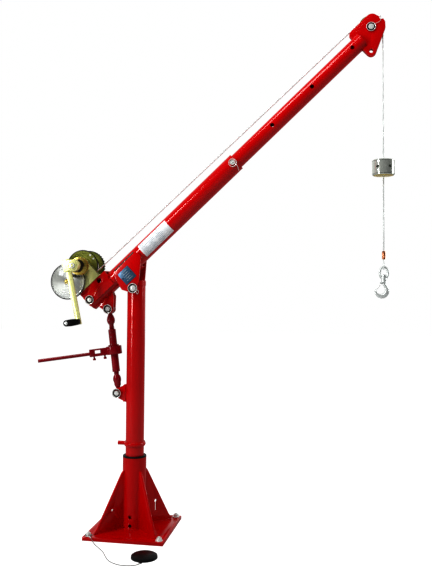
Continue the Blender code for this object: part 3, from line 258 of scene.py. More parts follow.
def make_rubber_look():
    look = Look("look_rubber", (0.006, 0.007, 0.007), 0.38)
    look.shader.inputs["Specular IOR Level"].default_value = 0.25
    look.tint(look.spread(look.noise(60.0, 4.0), 0.45, 0.75, 0.0, 0.5), (0.02, 0.02, 0.019))
    look.bump(look.noise(900.0, 3.0), 0.16, 0.0005)
    look.rough(look.spread(look.noise(30.0, 3.0), 0.3, 0.7, 0.34, 0.55))


def make_lining_look():
    """Pressed fibre with flecks of brass."""
    look = Look("look_lining", (0.30, 0.13, 0.035), 0.75)
    look.tint(look.spread(look.noise(500.0, 4.0), 0.58, 0.66, 0.0, 1.0), (0.68, 0.42, 0.12))
    look.bump(look.noise(420.0, 4.0), 0.5, 0.0007)
    look.rough(look.spread(look.noise(80.0, 3.0), 0.3, 0.7, 0.62, 0.88))


def make_print_looks():
    """The label's film, its printed rules and the nameplate's blue."""
    for name, colour, rough in (("look_label", (0.93, 0.95, 0.97), 0.55),
                                ("look_ink", (0.42, 0.50, 0.56), 0.38)):
        look = Look(name, colour, rough, 0.0, 0.3)
        look.tint(look.spread(look.noise(45.0, 4.0), 0.4, 0.7, 0.0, 0.35),
                  tuple(c * 0.94 for c in colour))
        look.bump(look.noise(600.0, 2.0), 0.06, 0.0003)
    plated("look_blue_plate", (0.06, 0.14, 0.24), (0.11, 0.22, 0.32), 0.34, 0.35, (4.0, 1.0, 1.0))


# The look of each CAD node's material slot, and the nodes that differ from their slot.
SLOT_LOOK = {
    "red_paint": "look_red", "jack_paint": "look_jack", "clear_zinc": "look_zinc",
    "yellow_zinc": "look_pale_zinc", "olive_zinc": "look_olive_zinc",
    "polished_steel": "look_steel", "galvanised": "look_forged", "wire_rope": "look_rope",
    "copper": "look_copper", "black_plastic": "look_rubber", "brake_lining": "look_lining",
    "blue_plate": "look_blue_plate",
}
NODE_LOOK = {
    "base_plate": "look_red_base_shaded", "socket_tube": "look_red_base_shaded",
    "brake_hub": "look_gold_zinc", "large_gear": "look_gold_zinc", "lay_shaft": "look_gold_zinc",
    "brake_pawl": "look_dark_steel", "sheave": "look_gold_zinc", "gear_guard": "look_disc",
}
BEVELS = {
    "base_plate": 0.0012, "winch_channel": 0.0010, "saddle": 0.0010, "jack_ears": 0.0009,
    "jack_lug": 0.0009, "crank_arm": 0.0008, "crank_block": 0.0009, "head_plates": 0.0008,
    "ratchet_lever": 0.0008, "winch_frame": 0.0006, "crank_nut": 0.0010, "hook_latch": 0.0003,
    "nameplate": 0.0003,
}
CORNERS = ("front_left", "front_right", "back_left", "back_right")
for corner in CORNERS:
    NODE_LOOK["gusset_" + corner] = "look_red_base_shaded"
    BEVELS["gusset_" + corner] = 0.0009


def finish_cad_nodes():
    """Every CAD node that stays on show gets its look and welded smooth surfaces; those in BEVELS
    also get soft edges.
    """
    for name, node in NODES.items():
        slot = node.data.materials[0].name.split(".")[0]
        node.data.materials[0] = LOOKS[NODE_LOOK.get(name, SLOT_LOOK[slot])]
        normals = node.data.attributes.get("custom_normal")
        if normals:
            node.data.attributes.remove(normals)
        weld = node.modifiers.new("weld", "WELD")
        weld.merge_threshold = WELD_GAP
        if name in BEVELS:
            bevel = node.modifiers.new("soft_edges", "BEVEL")
            bevel.width, bevel.segments, bevel.angle_limit = BEVELS[name], 2, BEVEL_ANGLE
            bevel.limit_method = "ANGLE"
        smooth(node, SMOOTH_ANGLE)


def place_object(name, data):
    obj = bpy.data.objects.new(name, data)
    bpy.context.scene.collection.objects.link(obj)
    return obj


def smooth(obj, angle):
    """Smooth shading that breaks at edges sharper than angle."""
    obj.data.polygons.foreach_set("use_smooth", [True] * len(obj.data.polygons))
    split = obj.modifiers.new("sharp_edges", "EDGE_SPLIT")
    split.split_angle = radians(angle)
    obj.data.update()


# ---------------------------------------------------------------- mesh helpers
def piece(name, bm, look, body, angle=SMOOTH_ANGLE):
    """A new piece of the object from bm, which rides on a CAD body."""
    bmesh.ops.recalc_face_normals(bm, faces=bm.faces)
    mesh = bpy.data.meshes.new(name)
    bm.to_mesh(mesh)
    bm.free()
    obj = place_object(name, mesh)
    mesh.materials.append(LOOKS[look])
    smooth(obj, angle)
    if body:
        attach(obj, body)
    return obj


def zinc_piece(name, bm, body):
    return piece(name, bm, "look_zinc", body)


def frames(points, closed=False):
    """Turn-free frames along a path: each point with two directions square to it."""
    points = [Vector(p) for p in points]
    count = len(points)
    found, side = [], None
    for i, p in enumerate(points):
        before = points[i - 1] if (i or closed) else points[0]
        after = points[(i + 1) % count] if (i < count - 1 or closed) else points[-1]
        along = (after - before).normalized()
        if side is None:
            side = along.orthogonal().normalized()
        side = (side - along * side.dot(along)).normalized()
        found.append((p, side, along.cross(side)))
    return found


def sweep(bm, points, radius, sides, closed=False):
    """A round bar along a path; radius is a number or one for each point."""
    rings, angles = [], [tau * k / sides for k in range(sides)]
    for i, (p, side, up) in enumerate(frames(points, closed)):
        r = radius[i] if isinstance(radius, (list, tuple)) else radius
        rings.append([bm.verts.new(p + side * r * cos(a) + up * r * sin(a)) for a in angles])
    skin(bm, rings, closed)


def skin(bm, rings, closed=False):
    """Faces between rings of vertices, with both ends capped unless they close on themselves."""
    count = len(rings[0])
    pairs = list(zip(rings, rings[1:])) + ([(rings[-1], rings[0])] if closed else [])
    for low, high in pairs:
        for k in range(count):
            bm.faces.new((low[k], low[(k + 1) % count], high[(k + 1) % count], high[k]))
    if not closed:
        bm.faces.new(rings[0])
        bm.faces.new(reversed(rings[-1]))


TURNS = {"Z": Matrix.Identity(3), "Y": Matrix.Rotation(-pi / 2, 3, "X")}


def lathe(bm, profile, place, axis, sides, base=0.0):
    """Turns a profile of (radius, distance from base along the axis) about one through place."""
    place = Vector(place)
    turn = axis.to_track_quat("Z", "X").to_matrix() if isinstance(axis, Vector) else TURNS[axis]
    closed = profile[0] == profile[-1]
    outline = profile[:-1] if closed else profile
    angles = [tau * k / sides for k in range(sides)]
    rings = [[bm.verts.new(place + turn @ Vector((r * cos(a), r * sin(a), base + d)))
              for a in angles] for r, d in outline]
    skin(bm, rings, closed)


def washer(bm, radii, stations, place, sides, base=0.0):
    """A washer about Y: its bore, the chamfer's two radii and the stations of its three edges."""
    bore, start, rim = radii
    front, chamfer, back = stations
    lathe(bm, [(bore, front), (start, front), (rim, chamfer), (rim, back), (bore, back),
               (bore, front)], place, "Y", sides, base)


def cap(bm, profile, place, sides, base):
    """A turned end about Y, from its middle outwards and back to the middle."""
    lathe(bm, profile[::-1], place, "Y", sides, base)


def hexagon(bm, across, start, end, place, turn=0.0, bore=0.0, axis="Y"):
    """A hex nut or head with rounded corners; across is its width over flats."""
    corner = across / sqrt(3)
    outline = [(start, corner * 0.93), (start + 0.10 * (end - start), corner),
               (end - 0.22 * (end - start), corner), (end, corner * 0.90)]
    if bore:
        outline += [(end, bore), (start, bore)]
    place, lie = Vector(place), TURNS[axis] @ Matrix.Rotation(turn, 3, "Z")
    rings, steps = [], 36
    for d, most in outline:
        ring = []
        for k in range(steps):
            a = tau * k / steps
            edge = (across / 2) / cos((a + pi / 6) % (pi / 3) - pi / 6)
            r = min(edge, most)
            ring.append(bm.verts.new(place + lie @ Vector((r * cos(a), r * sin(a), d))))
        rings.append(ring)
    skin(bm, rings, bool(bore))


def ring_path(centre, radius, axis_a, axis_b, count, start=0.0, turn=tau):
    """Points on a circle, or on part of one, in the plane of two directions."""
    steps = count if turn == tau else count - 1     # a whole circle closes on itself
    centre, axis_a, axis_b = Vector(centre), Vector(axis_a), Vector(axis_b)
    angles = [start + turn * k / steps for k in range(count)]
    return [centre + axis_a * radius * cos(a) + axis_b * radius * sin(a) for a in angles]


def hoop(bm, centre, radius, wire, count, sides=6, level=False):
    """A ring of round wire about an axis along Y, or about Z where it lies level."""
    sweep(bm, ring_path(centre, radius, ALONG_X, ALONG_Y if level else ALONG_Z, count), wire,
          sides, True)


def coil(centre, radius, start, end, turns, steps, first=0.0):
    """A helix about Y, from one y to another; first is the angle that it starts at."""
    path, count = [], turns * steps
    for i in range(count + 1):
        a = first + tau * i / steps
        path.append(Vector((centre.x + radius * cos(a), start + (end - start) * i / count,
                            centre.z + radius * sin(a))))
    return path


def bar(name, path, wire, sides, look, body, angle=SMOOTH_ANGLE):
    """A piece that is one round bar along a path."""
    bm = bmesh.new()
    sweep(bm, path, wire, sides)
    return piece(name, bm, look, body, angle)


def weld_bead(bm, points, size, closed=False):
    """A fillet weld: a bar with the ripples of its passes."""
    path = resample(points, WELD_STEP, closed)
    radius = [size * (1.0 + WELD_RIPPLE * sin(tau * i / 3)) for i in range(len(path))]
    sweep(bm, path, radius, 6, closed)


def resample(points, spacing, closed=False):
    """Points along straight runs between the given ones, at an even spacing."""
    points = [Vector(p) for p in points]
    if closed:
        points = points + [points[0]]
    out = []
    for a, b in zip(points, points[1:]):
        steps = max(1, round((b - a).length / spacing))
        out += [a.lerp(b, k / steps) for k in range(steps)]
    return out if closed else out + [points[-1]]


def curved(points, spacing):
    """A smooth curve through the points (Catmull-Rom), at about the given spacing."""
    pts = [Vector(p) for p in points]
    pts = [pts[0] * 2 - pts[1]] + pts + [pts[-1] * 2 - pts[-2]]
    out = []
    for a, b, c, d in zip(pts, pts[1:], pts[2:], pts[3:]):
        steps = max(2, round((c - b).length / spacing))
        for k in range(steps):
            t = k / steps
            out.append(0.5 * (2 * b + (c - a) * t + (2 * a - 5 * b + 4 * c - d) * t ** 2
                              + (3 * b - a - 3 * c + d) * t ** 3))
    return out + [pts[-2]]


def strands(bm, path, radius, pitch=0.042):
    """A laid rope: strands wound round one another along the path."""
    place, count = frames(path), 6
    travelled, last = 0.0, place[0][0]
    lines = [[] for _ in range(count)]
    for p, side, up in place:
        travelled += (p - last).length
        last = p
        for s in range(count):
            a = tau * (travelled / pitch + s / count)
            lines[s].append(p + (side * cos(a) + up * sin(a)) * radius * 0.64)
    for line in lines:
        sweep(bm, line, radius * 0.38, 5)


# ---------------------------------------------------------------- ropes
def rope(name, path, body, node):
    """A stretch of the hoist rope in place of a CAD node."""
    bm = bmesh.new()
    strands(bm, resample(path, 0.0046), ROPE_R)
    obj = piece(name, bm, "look_rope", body, SMOOTH_ALL)
    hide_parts(node)
    return obj


def rope_tangent():
    """Where the rope leaves the drum's underside and meets the sheave's top."""
    span = SHEAVE - DRUM
    swing = asin((DRUM_ROPE_R + SHEAVE_PITCH_R) / span.length)
    heading = atan2(span.z, span.x) + swing
    normal = Vector((-sin(heading), 0.0, cos(heading)))
    return DRUM - normal * DRUM_ROPE_R, SHEAVE + normal * SHEAVE_PITCH_R, heading


def make_ropes():
    drum, sheave, heading = rope_tangent()
    run = rope("wire_rope_run", [drum, sheave], None, "rope_run")
    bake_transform(run)

    # The rope on the sheave meets the falling rope at this angle round the sheave.
    meet = radians(44.6)
    rope("wire_rope_at_sheave",
         ring_path(SHEAVE, SHEAVE_PITCH_R, ALONG_X, ALONG_Z, 14, heading + pi / 2,
                   meet - heading - pi / 2), "extension", "rope_over_sheave")
    weight_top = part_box("overhaul_weight")[1].z
    fall_path = ring_path(SHEAVE, SHEAVE_PITCH_R, ALONG_X, ALONG_Z, 8, meet, -meet)
    fall_path.append(Vector((ROPE_X, 0.0, weight_top)))
    fall = rope("wire_rope_fall", fall_path, None, "rope_fall")
    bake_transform(fall)
    ferrule_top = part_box("ferrule")[1].z
    rope("wire_rope_tail", [(ROPE_X, 0, weight_top - 0.001), (ROPE_X, 0, ferrule_top)], "hoist",
         "rope_tail")
    make_rope_eye()
    make_windings()


def make_rope_eye():
    """The loop below the ferrule, which goes under the bow's top."""
    low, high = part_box("rope_eye")
    half = (high.y - low.y) / 2 - 0.0029
    bottom = low.z + 0.0029 + half
    path = [(ROPE_X, -0.0036, high.z), (ROPE_X, -0.0038, high.z - 0.004),
            (ROPE_X, -half * 0.72, high.z - 0.0130)]
    path += ring_path((ROPE_X, 0, bottom), half, ALONG_Y, ALONG_Z, 12, radians(172), radians(196))
    path += [(ROPE_X, half * 0.72, high.z - 0.0130), (ROPE_X, 0.0038, high.z - 0.004),
             (ROPE_X, 0.0036, high.z)]
    bm = bmesh.new()
    strands(bm, curved(path, 0.003), 0.0027, 0.034)
    obj = piece("wire_rope_eye", bm, "look_rope", "hoist", SMOOTH_ALL)
    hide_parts("rope_eye")


def make_windings():
    """The rope's turns on the drum, side by side."""
    low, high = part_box("rope_windings")
    start, end = low.y + ROPE_R, high.y - ROPE_R
    turns = int((end - start) / (2 * ROPE_R * 1.02))
    path = coil(DRUM, (high.x - low.x) / 2 - ROPE_R, start, end, turns, 26,
                rope_tangent()[2] - pi / 2)
    obj = bar("wire_rope_windings", path, ROPE_R, 8, "look_rope", "drum", SMOOTH_ALL)
    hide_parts("rope_windings")


def make_lanyard():
    """The thin cable that keeps the cap, from the near-left anchor bolt, with its two sleeves."""
    path = curved(LANYARD_ROUTE, 0.0040)
    curve = bpy.data.curves.new("cap_cable", "CURVE")
    curve.dimensions = "3D"
    spline = curve.splines.new("POLY")
    spline.points.add(len(path) - 1)
    for point, place in zip(spline.points, path):
        point.co = (*place, 1.0)
    curve.bevel_depth, curve.bevel_resolution = LANYARD_R, 3
    curve.use_fill_caps = True
    cable = place_object("cap_cable", curve)
    curve.materials.append(LOOKS["look_lanyard"])
    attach(cable, "base")
    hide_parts("cap_lanyard")

    bolt = middle("anchor_bolt_front_left")
    bm = bmesh.new()
    hoop(bm, (bolt.x, bolt.y, 0.0205), 0.0158, 0.0012, 30, 8, True)
    eye = piece("lanyard_loop", bm, "look_lanyard", "base")
    bm = bmesh.new()
    for a, b in ((path[0], path[4]), (path[-6], path[-1])):
        along = b - a
        sweep(bm, [a + along * t for t in (0.0, 0.08, 0.5, 0.92, 1.0)],
              [0.0017, 0.0026, 0.0028, 0.0026, 0.0017], 12)
    sleeves = zinc_piece("lanyard_sleeves", bm, "base")


# ---------------------------------------------------------------- base and mast
def make_base_details():
    """Weld beads round the socket, up the gussets and along the plate."""
    low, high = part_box("socket_tube")
    radius, foot = (high.x - low.x) / 2, low.z
    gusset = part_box("gusset_front_right")
    reach, top = gusset[1].x * sqrt(2), gusset[1].z
    bm = bmesh.new()
    weld_bead(bm, ring_path((0, 0, foot + 0.0008), radius + 0.0010, ALONG_X, ALONG_Y, 60),
              0.0030, True)
    for k in range(4):
        a = radians(45 + 90 * k)
        out, side = Vector((cos(a), sin(a), 0)), Vector((-sin(a), cos(a), 0))
        for sign in (-1, 1):
            shift = side * sign * 0.0056
            for ends in (((radius + 0.006, foot + 0.0005), (reach * 0.90, foot + 0.0005)),
                         ((radius - 0.0002, foot + 0.006), (radius - 0.0002, top - 0.004))):
                weld_bead(bm, [out * r + shift + ALONG_Z * z for r, z in ends], 0.0023)
    piece("base_welds", bm, "look_red_base_shaded", "base", SMOOTH_ALL)
    make_anchor_details()


def make_anchor_details():
    """A chamfered nut, a spring washer and a threaded stud end on each anchor bolt."""
    for corner in CORNERS:
        low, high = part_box("anchor_bolt_" + corner)
        x, y = (low.x + high.x) / 2, (low.y + high.y) / 2
        bm = bmesh.new()
        lathe(bm, [(0.0084, 0.0163), (0.0166, 0.0163), (0.0171, 0.0169), (0.0171, 0.0188),
                   (0.0166, 0.0193), (0.0084, 0.0193), (0.0084, 0.0163)], (x, y, 0), "Z", 32)
        sweep(bm, ring_path((x, y, 0.0205), 0.0112, ALONG_X, ALONG_Y, 24, 0.3, 5.9), 0.0012, 6)
        hexagon(bm, 0.0225, 0.0215, 0.0290, (x, y, 0), 0.4 + x, 0.0076, "Z")
        thread(bm, (x, y, 0.0163), ALONG_Z, 0.0070, high.z - 0.0163, 0.0018)
        obj = zinc_piece("anchor_hardware_" + corner, bm, "base")
        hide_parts("anchor_bolt_" + corner)


def thread(bm, start, along, radius, length, pitch, core=True):
    """A screw thread: a core with a ridge wound round it."""
    start = Vector(start)
    side = along.orthogonal().normalized()
    up = along.cross(side)
    if core:
        lathe(bm, [(radius * 0.9, 0.0), (radius * 0.9, length - 0.0006),
                   (radius * 0.8, length)], start, along, 24)
    ridge = pitch * 0.36
    turns = (length - 2 * ridge) / pitch
    count = max(8, int(turns * 18))
    path = []
    for i in range(count + 1):
        a = tau * turns * i / count
        path.append(start + along * (ridge + (length - 2 * ridge) * i / count)
                    + (side * cos(a) + up * sin(a)) * (radius * 0.94))
    sweep(bm, path, ridge, 5)


# ---------------------------------------------------------------- pins, rings and clips
def pin_place(node):
    """A pin's x and z, and the y of its near and far ends."""
    low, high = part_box(node)
    return (low.x + high.x) / 2, (low.z + high.z) / 2, low.y, high.y


def split_ring(bm, centre, radius, normal, wire):
    """Two turns of spring wire, as on a key ring."""
    normal = Vector(normal).normalized()
    side = normal.orthogonal().normalized()
    up = normal.cross(side)
    steps = 44
    path = [Vector(centre) + (side * cos(4 * pi * i / steps)
                              + up * sin(4 * pi * i / steps)) * radius
            + normal * wire * 2 * (i / steps - 0.5) for i in range(steps + 1)]
    sweep(bm, path, wire, 8)


# ---------------------------------------------------------------- mast, boom and saddle
def on_boom(s, y, v):
    """A place by its station along the boom and its height over the boom's axis."""
    return B(s + STATION_SHIFT, y, v + BOOM_LIFT)


def tube_patch(bm, s_range, angles, lift, steps):
    """A thin patch bent round the outer tube's near side; angles are from level, in degrees."""
    grid = []
    for r in (TUBE_R + lift, TUBE_R + lift - PATCH_THICK):
        row = []
        for k in range(steps + 1):
            a = radians(angles[0] + (angles[1] - angles[0]) * k / steps)
            row.append([bm.verts.new(on_boom(s, -r * cos(a), r * sin(a))) for s in s_range])
        grid.append(row)
    top, under = grid
    for k in range(steps):
        bm.faces.new((top[k][0], top[k][1], top[k + 1][1], top[k + 1][0]))
        bm.faces.new((under[k][1], under[k][0], under[k + 1][0], under[k + 1][1]))
        for e in (0, 1):
            bm.faces.new((top[k][e], top[k + 1][e], under[k + 1][e], under[k][e]))
    for k in (0, steps):
        bm.faces.new((top[k][0], top[k][1], under[k][1], under[k][0]))


def make_label():
    """The data label on the outer tube: a white sticker with plain rules where print would be."""
    start, end, low, high = 0.047, 0.231, -56.0, 44.0
    bm = bmesh.new()
    tube_patch(bm, (start, end), (low, high), 0.0006, 24)
    piece("data_label", bm, "look_label", "boom")
    bm = bmesh.new()
    rows = 11
    for i in range(rows):
        a = high - 7.0 - (high - low - 14.0) * i / (rows - 1)
        left = start + 0.008
        cells = (0.30, 0.24, 0.34) if i % 3 else (0.62, 0.20)
        for share in cells:
            width = share * (end - start - 0.016)
            right = left + width * (0.80 - 0.12 * ((i * 7 + int(share * 50)) % 4))
            tube_patch(bm, (left, right), (a - 1.0, a + 1.0), 0.0009, 2)
            left += width
    piece("data_label_rules", bm, "look_ink", "boom")


def make_boom_details():
    make_label()
    low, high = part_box("nameplate")
    centre = BOOM_FRAME.inverted() @ ((low + high) / 2)
    bm = bmesh.new()
    for side in (-1, 1):
        place = B(centre.x + side * 0.0265, 0, centre.z)
        cap(bm, [(0.0, -0.0016), (0.0018, -0.0014), (0.0029, -0.0006), (0.0032, 0.0),
                 (0.0, 0.0)], (place.x, 0, place.z), 20, low.y)
    piece("nameplate_rivets", bm, "look_dark_steel", "boom")
    bm = bmesh.new()
    for i in range(5):
        z = centre.z + 0.022 - 0.011 * i
        half = 0.018 - 0.003 * (i % 2)
        a, b = B(centre.x - half, low.y - 0.0002, z), B(centre.x + half, low.y - 0.0002, z)
        sweep(bm, [a, (a + b) / 2, b], 0.0007, 6)
    piece("nameplate_rules", bm, "look_zinc", "boom")

    bm = bmesh.new()
    for y in (-0.04116, 0.04116):
        weld_bead(bm, [on_boom(s, y, 0.0195) for s in (0.000, 0.020)], 0.0022)
    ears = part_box("jack_ears")
    for y in (ears[0].y - 0.0006, ears[1].y + 0.0006):
        weld_bead(bm, [B(s, y, BOOM_LIFT - 0.0398) for s in (-0.196, -0.108)], 0.0022)
    for y in (-0.0440, 0.0440):
        weld_bead(bm, [B(s, y, BOOM_LIFT - 0.0440) for s in (-0.008, 0.088)], 0.0024)
    piece("boom_welds", bm, "look_red", "boom", SMOOTH_ALL)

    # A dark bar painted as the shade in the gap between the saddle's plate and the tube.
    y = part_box("saddle")[0].y + 0.0047
    bar("saddle_gap_painted_shade", [on_boom(-0.117, y, 0.0176), on_boom(-0.05, y, 0.0182),
                       on_boom(0.016, y, 0.0188)], 0.0044, 8, "look_dark_steel", "boom")
    make_mouth_ring()


def make_mouth_ring():
    """The outer tube's reinforced mouth, rolled over the plain cut end."""
    end = BOOM_FRAME.inverted() @ middle("extension_pin")
    bm = bmesh.new()
    station = end.x + 0.0156
    inside = TUBE_R - 0.0048
    lathe(bm, [(inside, -0.0020), (TUBE_R + 0.0002, -0.0020), (TUBE_R + 0.0007, -0.0008),
               (TUBE_R + 0.0003, 0.0009), (inside, 0.0009), (inside, -0.0020)],
          B(0, 0, BOOM_LIFT), BOOM_AXIS, 48, station)
    piece("boom_mouth", bm, "look_red", "boom")


def pin_shadow_ring(bm, node, radius):
    """A dark ring painted as the shadow round a pin where its washer bears on the plate."""
    x, z, near, _ = pin_place(node)
    hoop(bm, (x, near + 0.0046, z), radius, 0.0036, 40, 10)


def make_pin_details():
    """Rings, clips and nuts on the near ends of the pins."""
    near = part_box("luff_pivot_pin")[0].y
    bm = bmesh.new()
    cap(bm, [(0.00196, -0.0012), (0.00735, -0.0012), (0.0098, 0.0006), (0.0098, 0.0040)], LUFF,
        28, near)
    washer(bm, (0.0100, 0.0150, 0.0156), (0.0040, 0.0046, 0.0060), LUFF, 32, near)
    split_ring(bm, LUFF + Vector((0.0, near - 0.0010, 0.0)), 0.0228, (0.05, 1, 0.03), 0.0015)
    zinc_piece("luff_pin_hardware", bm, "mast")
    top = LUFF + Vector((0.016, near - 0.0010, -0.006))
    clip = [top + Vector(step) for step in (
        (0, 0, 0.004), (0, 0, 0), (0.003, -0.001, -0.014), (0.009, -0.001, -0.022),
        (0.014, 0, -0.015), (0.0125, 0, -0.005), (0.005, 0, -0.001))]
    bar("luff_pin_clip", curved(clip, 0.0012), 0.0011, 8, "look_zinc", "mast")

    for name, node, body, across in (("heel_bolt_head", "heel_bolt", "boom", 0.0190),
                                     ("jack_top_nut", "jack_upper_pin", "boom", 0.0200),
                                     ("jack_foot_nut", "jack_lower_pin", "mast", 0.0200)):
        x, z, near, far = pin_place(node)
        bm = bmesh.new()
        hexagon(bm, across, near - 0.0050, near + 0.0006, (x, 0, z), 0.3)
        cap(bm, [(0.0, -0.0072), (0.0052, -0.0066), (0.0056, -0.0046), (0.0, -0.0046)],
            (x, 0, z), 20, near)
        hexagon(bm, across, far - 0.0004, far + 0.0060, (x, 0, z), 0.3)
        zinc_piece(name, bm, body)
    for name, node, body in (("jack_top_ring", "jack_upper_pin", "boom"),
                             ("heel_bolt_ring", "heel_bolt", "boom"),
                             ("jack_foot_ring", "jack_lower_pin", "mast")):
        x, z, near, _ = pin_place(node)
        bm = bmesh.new()
        split_ring(bm, (x, near - 0.0024, z), 0.0212, (0.05, 1, 0.03), 0.0015)
        zinc_piece(name, bm, body)
    # Dark rings painted as the shadow round the pins' near ends.
    for body, pins in (("mast", (("luff_pivot_pin", 0.0186), ("jack_lower_pin", 0.0166))),
                       ("boom", (("heel_bolt", 0.0166), ("jack_upper_pin", 0.0166)))):
        bm = bmesh.new()
        for node, radius in pins:
            pin_shadow_ring(bm, node, radius)
        piece(body + "_pin_painted_shadow", bm, "look_dark_steel", body)
    make_extension_pin()
    make_head_details()


def make_extension_pin():
    """The quick-release pin's button, its pull ring and the short tail of its lanyard."""
    x, z, near, _ = pin_place("extension_pin")
    bm = bmesh.new()
    cap(bm, [(0.0, -0.0030), (0.0038, -0.0026), (0.0044, -0.0006), (0.0044, 0.0010),
             (0.0, 0.0010)], (x, 0, z), 20, near)
    lathe(bm, [(0.0095, -0.0006), (0.0133, -0.0006), (0.0136, 0.0004), (0.0095, 0.0004),
               (0.0095, -0.0006)], (x, 0, z), "Y", 30, near)
    split_ring(bm, (x + 0.002, near - 0.0030, z - 0.0030), 0.0190, (0.1, 1, 0.1), 0.0014)
    zinc_piece("extension_pin_ring", bm, "lock_pin")
    tail = [on_boom(0.664, near - 0.002, 0.007), on_boom(0.672, near - 0.001, -0.010),
            on_boom(0.668, near + 0.004, -0.030), on_boom(0.659, near + 0.020, -0.049)]
    bar("extension_pin_tail", curved(tail, 0.0016), 0.0009, 8, "look_rope", "lock_pin")


def make_head_details():
    """The sheave pin's washer and ring, its keeper wire and the head's welds."""
    x, z, near, _ = pin_place("sheave_pin")
    bm = bmesh.new()
    washer(bm, (0.0099, 0.0118, 0.0124), (0.0034, 0.0042, 0.0060), (x, 0, z), 36, near)
    cap(bm, [(0.0, -0.0010), (0.0085, -0.0010), (0.0099, 0.0004), (0.0099, 0.0030),
             (0.0, 0.0030)], (x, 0, z), 30, near)
    split_ring(bm, (x, near + 0.0006, z), 0.0206, (0, 1, 0), 0.0013)
    bright = len(bm.faces)
    # The faces added from here on are a dark ring painted as the shadow round the pin.
    pin_shadow_ring(bm, "sheave_pin", 0.0158)
    bm.faces.ensure_lookup_table()
    for face in bm.faces[bright:]:
        face.material_index = 1
    obj = zinc_piece("sheave_pin_hardware", bm, "extension")
    obj.data.materials.append(LOOKS["look_dark_steel"])
    sheave = BOOM_FRAME.inverted() @ Vector((x, 0, z))
    notch = (1.6370 + STATION_SHIFT, BOOM_LIFT + 0.0165)
    bm = bmesh.new()
    start, end = B(sheave.x, near - 0.0002, sheave.z), B(notch[0], near + 0.0060, notch[1])
    bend = start.lerp(end, 0.6) + B(0.010, 0, -0.012) - B(0, 0, 0)
    sweep(bm, curved([start, start.lerp(bend, 0.5) + Vector((0, -0.001, 0)), bend, end,
                      B(notch[0] + 0.004, 0.0, notch[1] + 0.006)], 0.0016), 0.0011, 8)
    sweep(bm, [B(notch[0] - 0.002, near + 0.001, notch[1] + 0.002),
               B(notch[0] + 0.001, near + 0.0015, notch[1] + 0.007),
               B(notch[0] + 0.002, near + 0.002, notch[1] + 0.013)], [0.0024, 0.0028, 0.0018], 10)
    zinc_piece("sheave_keeper", bm, "extension")

    bm = bmesh.new()
    for y in (-0.0150, 0.0150):
        for v in (0.0330, -0.0330):
            weld_bead(bm, [B(s, y, BOOM_LIFT + v) for s in (1.570, 1.604)], 0.0022)
    piece("head_welds", bm, "look_red", "extension", SMOOTH_ALL)


def make_mast_details():
    """The collar's weld and the lug's weld beads."""
    low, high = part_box("jack_lug")
    bm = bmesh.new()
    for y in (low.y - 0.0004, high.y + 0.0004):
        x = -sqrt(TUBE_R ** 2 - y ** 2) - 0.0004
        weld_bead(bm, [(x, y, low.z + 0.002), (x, y, high.z - 0.002)], 0.0022)
    for z in (low.z - 0.0002, high.z + 0.0002):
        weld_bead(bm, ring_path((0, 0, z), TUBE_R + 0.0004, -ALONG_X, ALONG_Y, 9, -0.42, 0.84),
                  0.0022)
    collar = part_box("mast_collar")
    weld_bead(bm, ring_path((0, 0, collar[1].z - 0.0016), TUBE_R + 0.0042, ALONG_X, ALONG_Y, 50),
              0.0016, True)
    piece("mast_welds", bm, "look_red", "mast", SMOOTH_ALL)
    bm = bmesh.new()
    handle_z = (collar[0].z + collar[1].z) / 2
    lathe(bm, [(0.0, -0.0008), (0.0072, -0.0006), (0.0098, 0.0016), (0.0098, 0.0060),
               (0.0, 0.0060)], (0, 0, handle_z), ALONG_X, 24, collar[0].x)
    piece("collar_handle_end", bm, "look_red", "mast")


# ---------------------------------------------------------------- winch
def make_winch_details():
    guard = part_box("gear_guard")
    radius, face = (guard[1].z - guard[0].z) / 2, guard[0].y
    # Both rings stop where the drum's flange bites into the guard.
    gap = 0.36
    arc = (90, atan2(DRUM.z - LAY_SHAFT.z, DRUM.x - LAY_SHAFT.x) + gap, tau - 2 * gap)
    bar("guard_rim", ring_path((LAY_SHAFT.x, face + 0.0012, LAY_SHAFT.z), radius, ALONG_X,
                               ALONG_Z, *arc), 0.0026, 8, "look_dark_steel", "boom")
    bm = bmesh.new()
    sweep(bm, ring_path((LAY_SHAFT.x, face - 0.0002, LAY_SHAFT.z), radius * 0.93, ALONG_X,
                        ALONG_Z, *arc), 0.0008, 6)
    washer(bm, (0.0105, 0.0165, 0.0185), (-0.0022, -0.0004, 0.0002), LAY_SHAFT, 36, face)
    piece("guard_pressing", bm, "look_disc", "boom")
    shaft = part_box("lay_shaft")
    bm = bmesh.new()
    hexagon(bm, 0.0200, shaft[0].y + 0.0006, shaft[0].y + 0.0088, LAY_SHAFT, 0.2)
    cap(bm, [(0.0, -0.0010), (0.0050, -0.0006), (0.0060, 0.0010), (0.0, 0.0010)], LAY_SHAFT, 20,
        shaft[0].y)
    piece("guard_nut", bm, "look_gold_zinc", "intermediate")

    # A small plain sticker on the guard, upper left.
    bm = bmesh.new()
    centre = LAY_SHAFT + Vector((-0.036, 0, 0.040))
    corners = [(-0.0125, -0.0090), (0.0105, -0.0130), (0.0150, 0.0080), (-0.0070, 0.0125)]
    skin(bm, [[bm.verts.new((centre.x + x, face - lift, centre.z + z)) for x, z in corners]
              for lift in (0.0004, 0.0001)])
    piece("guard_sticker", bm, "look_label", "boom")
    make_drum_details()
    make_brake_details()
    make_winch_foot()


